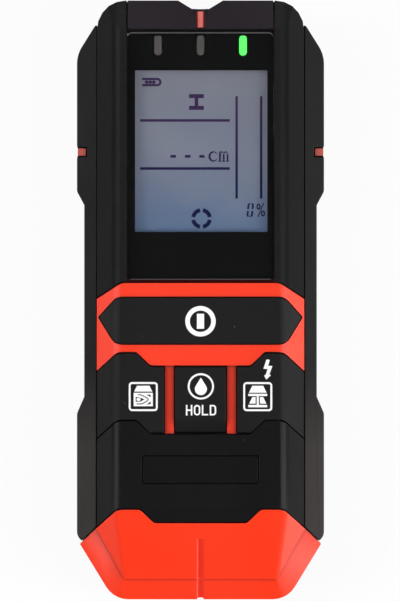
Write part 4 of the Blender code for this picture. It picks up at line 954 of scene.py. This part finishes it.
shareSign = {
    "level": 25.3, "lean": 0.1, "halves": [(25.6, 27.2), (25.1, 23.5)], "bend": 0.35,
    "sides": [(13.3, 0.33), (14.55, -0.33)], "line": 0.52, "cap": (13.86, 13.99), "capIn": 0.2,
    "capLine": 0.46, "rings": [(16.25, 26.3), (17.52, 24.4)], "ring": [(0.84, 0.72), (0.42, 0.55)],
    "slash": [(16.1, 23.4), (17.66, 27.3)], "slashLine": 0.3,
}


def ruleSegments(look):
    outlines = [stroke([(x0, y), (x1, y)], look["ruleWidth"]) for x0, y, x1 in look["rules"]]
    outlines += [stroke([(x, y0), (x, y1)], look["postWidth"]) for x, y0, y1 in look["posts"]]
    low, high = look["dashLevel"]
    return outlines + [rectangle(x0, low, x1, high) for x0, x1 in look["dashes"]]


# target: four arcs with gaps between them
def targetSegments(look):
    outlines = []
    for start in range(0, 360, 90):
        ends = (start + look["gap"], start + 90 - look["gap"])
        outlines.append(stroke(arc(*look["at"], look["radius"], *ends, look["steps"]), look["line"]))
    return outlines


def beamSegments(look):
    x0, y0, x1, y1 = look["box"]
    low, high = y0 + look["flange"], y1 - look["flange"]
    left, right = [(x0 + x1) / 2 + side * look["web"] for side in (-1, 1)]
    return [[(x0, y0), (x1, y0), (x1, low), (right, low), (right, high), (x1, high),
             (x1, y1), (x0, y1), (x0, high), (left, high), (left, low), (x0, low)]]


# battery level: a case open at one end, with three cells in it
def batterySegments(look):
    shell = stroke([*look["lips"][:2], *arc(*look["turn"]), *look["lips"][2:]], look["line"])
    return [shell] + [circle(x, *look["cell"]) for x in look["cells"]]


# the unit, in letters with thick uprights and thin joins
def unitSegments(look):
    outlines = [arc(*look["bowl"]) + arc(*look["inner"])]
    low, base = look["feet"]
    for x, top in look["stems"]:
        outlines.append(rectangle(x - look["stem"], base, x + look["stem"], top))
        outlines.append(rectangle(x - look["foot"], low, x + look["foot"], base))
    return outlines + [stroke(arc(x, *look["join"]), look["joinLine"]) for x in look["joins"]]


# a leaning nought of bent strokes, and the sign for hundredths
def shareSegments(look):
    def leaning(points):
        return [(x + (y - look["level"]) * look["lean"], y) for x, y in points]

    outlines = []
    for y, tip in look["halves"]:
        bend = math.copysign(look["bend"], tip - y)
        for x, inside in look["sides"]:
            outlines.append(stroke(leaning([(x, y), (x, tip - bend), (x + inside, tip)]), look["line"]))
        level = tip - bend * look["capIn"]
        outlines.append(stroke(leaning([(x, level) for x in look["cap"]]), look["capLine"]))
    for x, y in look["rings"]:
        outlines += [circle(x, y, *ring) for ring in look["ring"]]
    return outlines + [stroke(look["slash"], look["slashLine"])]


segmentOutlines = ruleSegments(displaySigns) + targetSegments(targetSign) + beamSegments(beamSign)
segmentOutlines += batterySegments(batterySign) + unitSegments(unitSign) + shareSegments(shareSign)
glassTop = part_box("lcd_panel")[1].z
flatPiece("display_segments", segmentOutlines, glassTop, segmentLayer, "segmentInk", "lcd_panel")
print("display segments drawn")


# Skin of a solid whose sections are rings of equal length, with a cap at each end
def skinRings(builder, rings):
    for near, far in zip(rings, rings[1:]):
        for step in range(len(near)):
            following = (step + 1) % len(near)
            builder.faces.new((near[step], near[following], far[following], far[step]))
    builder.faces.new(rings[0])
    builder.faces.new(rings[-1])
    bmesh.ops.recalc_face_normals(builder, faces=builder.faces)


# Window: a flat plate with a chamfer on its far edge and the other edges only broken
windowLook = {
    "chamfer": 1.15, "fall": 0.5, "broken": 0.02, "corner": 1.3, "line": (0.68, 0.98), "lift": (0.01, 0.04),
}
lensLow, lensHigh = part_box("display_lens")
lensEdges = [value / mm for value in (lensLow.x, lensLow.y, lensHigh.x, lensHigh.y)]


def makeWindow(look):
    x0, y0, x1, y1 = lensEdges
    builder = bmesh.new()
    rings = []
    for level in ("foot", "shoulder", "top"):
        side, back = (look["broken"], look["chamfer"]) if level == "top" else (0.0, 0.0)
        ring = []
        for x, y in roundedBox(x0 + side, y0 + side, x1 - side, y1 - back, look["corner"] - side):
            drop = look["fall"] if y > y1 - look["corner"] - back else look["broken"]
            heights = {"foot": lensLow.z, "shoulder": lensHigh.z - drop * mm, "top": lensHigh.z}
            ring.append(builder.verts.new((x * mm, y * mm, heights[level])))
        rings.append(ring)
    skinRings(builder, rings)
    half = len(rings[0]) // 2
    slopes = [(lower.co.copy(), upper.co.copy()) for lower, upper in zip(rings[1][:half], rings[2][:half])]
    window = newPiece("display_window", builder, finishes["clearWindow"])
    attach(window, bodyOf["display_lens"])
    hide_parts("display_lens")
    makeBevelLine(slopes, look)


# Painted highlight: the glint of the chamfer as a grey line along the far edge and round its corners
def makeBevelLine(slopes, look):
    builder = bmesh.new()
    sections = []
    for lower, upper in slopes:
        section = []
        for share, lift in zip((0, 1, 1, 0), (0, 0, 1, 1)):
            point = lower.lerp(upper, look["line"][share])
            section.append(builder.verts.new(point + Vector((0.0, 0.0, look["lift"][lift] * mm))))
        sections.append(section)
    skinRings(builder, sections)
    addedPiece("window_bevel_line", builder, "groundEdge", "display_lens")


makeWindow(windowLook)

# Black print under the window's border, painted shade in the gap round it, a lip in the bridge's colour on
# the far edge and a painted highlight on the near edge: the layer of the print is from its seat up, the
# others from the window's top
borderLook = {
    "width": 1.7, "left": 2.1, "corner": 0.8, "print": (0.04, 0.25), "shadeGap": 0.03, "shadeWidth": 0.23,
    "shadeSink": -0.1, "edge": (-0.1, -0.03), "line": (-0.26, -0.05),
}


def makeWindowBorder(look):
    x0, y0, x1, y1 = lensEdges
    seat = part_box("display_mask")[1].z
    top = lensHigh.z

    def outline(reach, left):
        return roundedBox(x0 - left, y0 - reach, x1 + reach, y1 + reach, look["corner"])

    border = [outline(0.0, 0.0), outline(-look["width"], -look["left"])]
    flatPiece("window_border_print", border, seat, look["print"], "maskPrint", "display_lens")
    inside = look["shadeGap"]
    outside = inside + look["shadeWidth"]
    shadeRing = [outline(outside, outside), outline(inside, inside)]
    shadeLayer = ((seat - top) / mm + look["print"][0], look["shadeSink"])
    flatPiece("window_gap_shade", shadeRing, top, shadeLayer, "gasketRubber", "display_lens")
    half = x1 - look["corner"]
    lip = [rectangle(-half, y1 + inside, half, y1 + outside)]
    flatPiece("bridge_lip", lip, top, look["edge"], "bridgePlastic", "top_bridge")
    near, far = [y0 + step for step in look["line"]]
    line = [rectangle(-half, near, half, far)]
    flatPiece("window_near_line", line, top, look["edge"], "groundEdge", "display_lens")


makeWindowBorder(borderLook)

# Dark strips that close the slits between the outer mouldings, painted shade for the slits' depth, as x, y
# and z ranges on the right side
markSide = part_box("centre_marker")[1].x / mm
blackSlitShade = {"z": 13.6, "finish": "sealRubber", "slot": "black_rubber"}
redSlitShade = {"z": 29.6, "finish": "linerRed", "slot": "red_plastic"}
slitShades = {
    "slit_shade_end": {**blackSlitShade, "x": (20.43, 20.67), "y": (80.8, 83.6), "tops": (29.5, 28.45)},
    "slit_shade_shoulder": {**blackSlitShade, "x": (29.1, 29.37), "y": (73.0, 77.2), "tops": (23.9, 23.9)},
    "slit_shade_mark_far": {**blackSlitShade, "x": (31.9, 34.55), "y": (42.73, 42.97), "tops": (21.6, 21.6)},
    "slit_shade_mark_near": {**blackSlitShade, "x": (31.9, 34.55), "y": (40.43, 40.67), "tops": (21.6, 21.6)},
    "mark_slit_shade": {
        **redSlitShade, "x": (markSide + 0.03, markSide + 0.27), "y": (76.35, 80.85), "tops": (31.45, 29.75),
    },
}


def makeSlitShade(name, look, side):
    builder = bmesh.new()
    corners = []
    for x in look["x"]:
        for y, top in zip(look["y"], look["tops"]):
            for z in (look["z"], top):
                corners.append(builder.verts.new((side * x * mm, y * mm, z * mm)))
    bmesh.ops.convex_hull(builder, input=corners)
    addedPiece(name, builder, look["finish"], "front_shell")


for slitName, slitLook in slitShades.items():
    makeSlitShade(slitName + "_left", slitLook, -1)
    makeSlitShade(slitName + "_right", slitLook, 1)
print("seals set")


# Thumb ridges in the battery door's recess: half-round bars that stand on its floor, in millimetres, with the
# places along a bar and its size there as shares
ridgeLook = {
    "count": 4, "half": 5.3, "first": -54.2, "step": 1.08, "radius": 0.34, "floor": 1.41, "turns": 10,
    "ends": [(-1.0, 0.35), (-0.97, 0.8), (-0.93, 1.0), (0.93, 1.0), (0.97, 0.8), (1.0, 0.35)],
}


def makeThumbRidges(look):
    builder = bmesh.new()
    for index in range(look["count"]):
        y = look["first"] + index * look["step"]
        rings = []
        for along, size in look["ends"]:
            reach = look["radius"] * size
            ring = []
            for step in range(look["turns"] + 1):
                turn = math.pi * step / look["turns"]
                z = look["floor"] - reach * math.sin(turn)
                spot = Vector((along * look["half"], y + reach * math.cos(turn), z))
                ring.append(builder.verts.new(spot * mm))
            rings.append(ring)
        skinRings(builder, rings)
    ridges = addedPiece("door_thumb_ridges", builder, "coverPlastic", "battery_door")
    smoothBends(ridges)


makeThumbRidges(ridgeLook)
print("door ridges made")


# Photograph's view: straight onto the face, with lengths in millimetres and the clip range in metres
viewLook = {"frameHeight": 168.84, "plane": 22.0, "distance": 2000.0, "sensor": 24.0, "clip": (0.01, 50.0)}


def makeCamera(look):
    data = bpy.data.cameras.new("camera")
    data.sensor_fit = "VERTICAL"
    data.sensor_height = look["sensor"]
    data.lens = look["sensor"] * look["distance"] / look["frameHeight"]
    data.clip_start, data.clip_end = look["clip"]
    camera = addObject("camera", data)
    camera.location = (0.0, 0.0, (look["plane"] + look["distance"]) * mm)
    bpy.context.scene.camera = camera


makeCamera(viewLook)

# Pale floor: mostly plain white to the eye, so that the shadow on it stays faint. It is unseen from below,
# and what lies right on it gets light through it.
floorLook = {
    "size": 6.0, "colour": (0.8, 0.8, 0.8), "roughness": 0.8, "white": 0.93, "drop": 0.0002, "lets": 0.006,
}


def makeFloor(look):
    material, tree, shader = newMaterial("paleFloor")
    setInputs(tree, shader, {"Base Color": look["colour"], "Roughness": look["roughness"]})
    rays = addNode(tree, "ShaderNodeLightPath").outputs
    seen = calc(tree, "MAXIMUM", rays["Is Camera Ray"], rays["Is Glossy Ray"])
    seen = calc(tree, "MAXIMUM", seen, rays["Is Transmission Ray"])
    white = addNode(tree, "ShaderNodeEmission", {"Color": (1.0, 1.0, 1.0), "Strength": 1.0}).outputs[0]
    paper = mixShaders(tree, calc(tree, "MULTIPLY", seen, look["white"]), shader.outputs[0], white)
    below = addNode(tree, "ShaderNodeNewGeometry").outputs["Backfacing"]
    close = calc(tree, "LESS_THAN", rays["Ray Length"], look["lets"])
    close = calc(tree, "SUBTRACT", close, rays["Is Camera Ray"], clamp=True)
    through = addNode(tree, "ShaderNodeBsdfTransparent").outputs[0]
    surface = mixShaders(tree, calc(tree, "MAXIMUM", below, close), paper, through)
    feed(tree, tree.nodes["Material Output"].inputs["Surface"], surface)
    builder = bmesh.new()
    bmesh.ops.create_grid(builder, x_segments=1, y_segments=1, size=look["size"] / 2)
    bmesh.ops.translate(builder, vec=(0.0, 0.0, -look["drop"]), verts=builder.verts)
    newPiece("floor", builder, material)


makeFloor(floorLook)

# Soft boxes at both sides of the face, higher up beside it, past its far end and low at one side, all turned
# to a point in the case, with nothing bright straight above it
softBoxes = {
    "leftBox": {"at": (-0.95, -0.2, 0.65), "size": (0.26, 0.75), "watts": 5.4},
    "rightBox": {"at": (0.95, -0.2, 0.65), "size": (0.26, 0.75), "watts": 5.0},
    "highLeftBox": {"at": (-0.76, 0.3, 0.96), "size": (0.3, 0.8), "watts": 5.2},
    "highRightBox": {"at": (0.68, -0.24, 1.0), "size": (0.3, 0.8), "watts": 5.2},
    "farBox": {"at": (0.0, 1.1, 1.27), "size": (0.6, 0.3), "watts": 2.2},
    "nearBox": {"at": (0.87, -0.35, 0.1), "size": (0.34, 0.16), "watts": 5.2},
}
aimPoint = Vector((0.0, 0.0, 0.02))


def makeSoftBox(name, look):
    data = bpy.data.lights.new(name, "AREA")
    data.shape = "RECTANGLE"
    data.size, data.size_y = look["size"]
    data.energy = look["watts"]
    box = addObject(name, data)
    box.location = look["at"]
    aim = aimPoint - Vector(look["at"])
    box.rotation_euler = aim.to_track_quat("-Z", "Y").to_euler()


for boxName, boxLook in softBoxes.items():
    makeSoftBox(boxName, boxLook)

# Plain room: pale at the level of the floor, darker overhead, light under the floor and white to the eye
roomLook = {"colour": (0.98, 0.985, 1.0), "above": 0.02, "around": 0.5, "below": 0.8, "fade": 3.0}


def makeRoom(look):
    world = bpy.data.worlds.new("studio")
    world.use_nodes = True
    tree = world.node_tree
    way = axes(tree, "Generated")["Z"]
    level = calc(tree, "SUBTRACT", 1.0, calc(tree, "ABSOLUTE", way), clamp=True)
    strength = spread(tree, calc(tree, "POWER", level, look["fade"]), 0.0, 1.0, look["above"], look["around"])
    under = calc(tree, "MULTIPLY", calc(tree, "LESS_THAN", way), look["below"])
    strength = calc(tree, "MAXIMUM", strength, under)
    seen = addNode(tree, "ShaderNodeLightPath").outputs["Is Camera Ray"]
    strength = calc(tree, "MAXIMUM", strength, seen)
    setInputs(tree, tree.nodes["Background"], {"Color": look["colour"], "Strength": strength})
    bpy.context.scene.world = world


makeRoom(roomLook)
bpy.context.scene.view_settings.view_transform = "Standard"
print("camera, floor and light set")
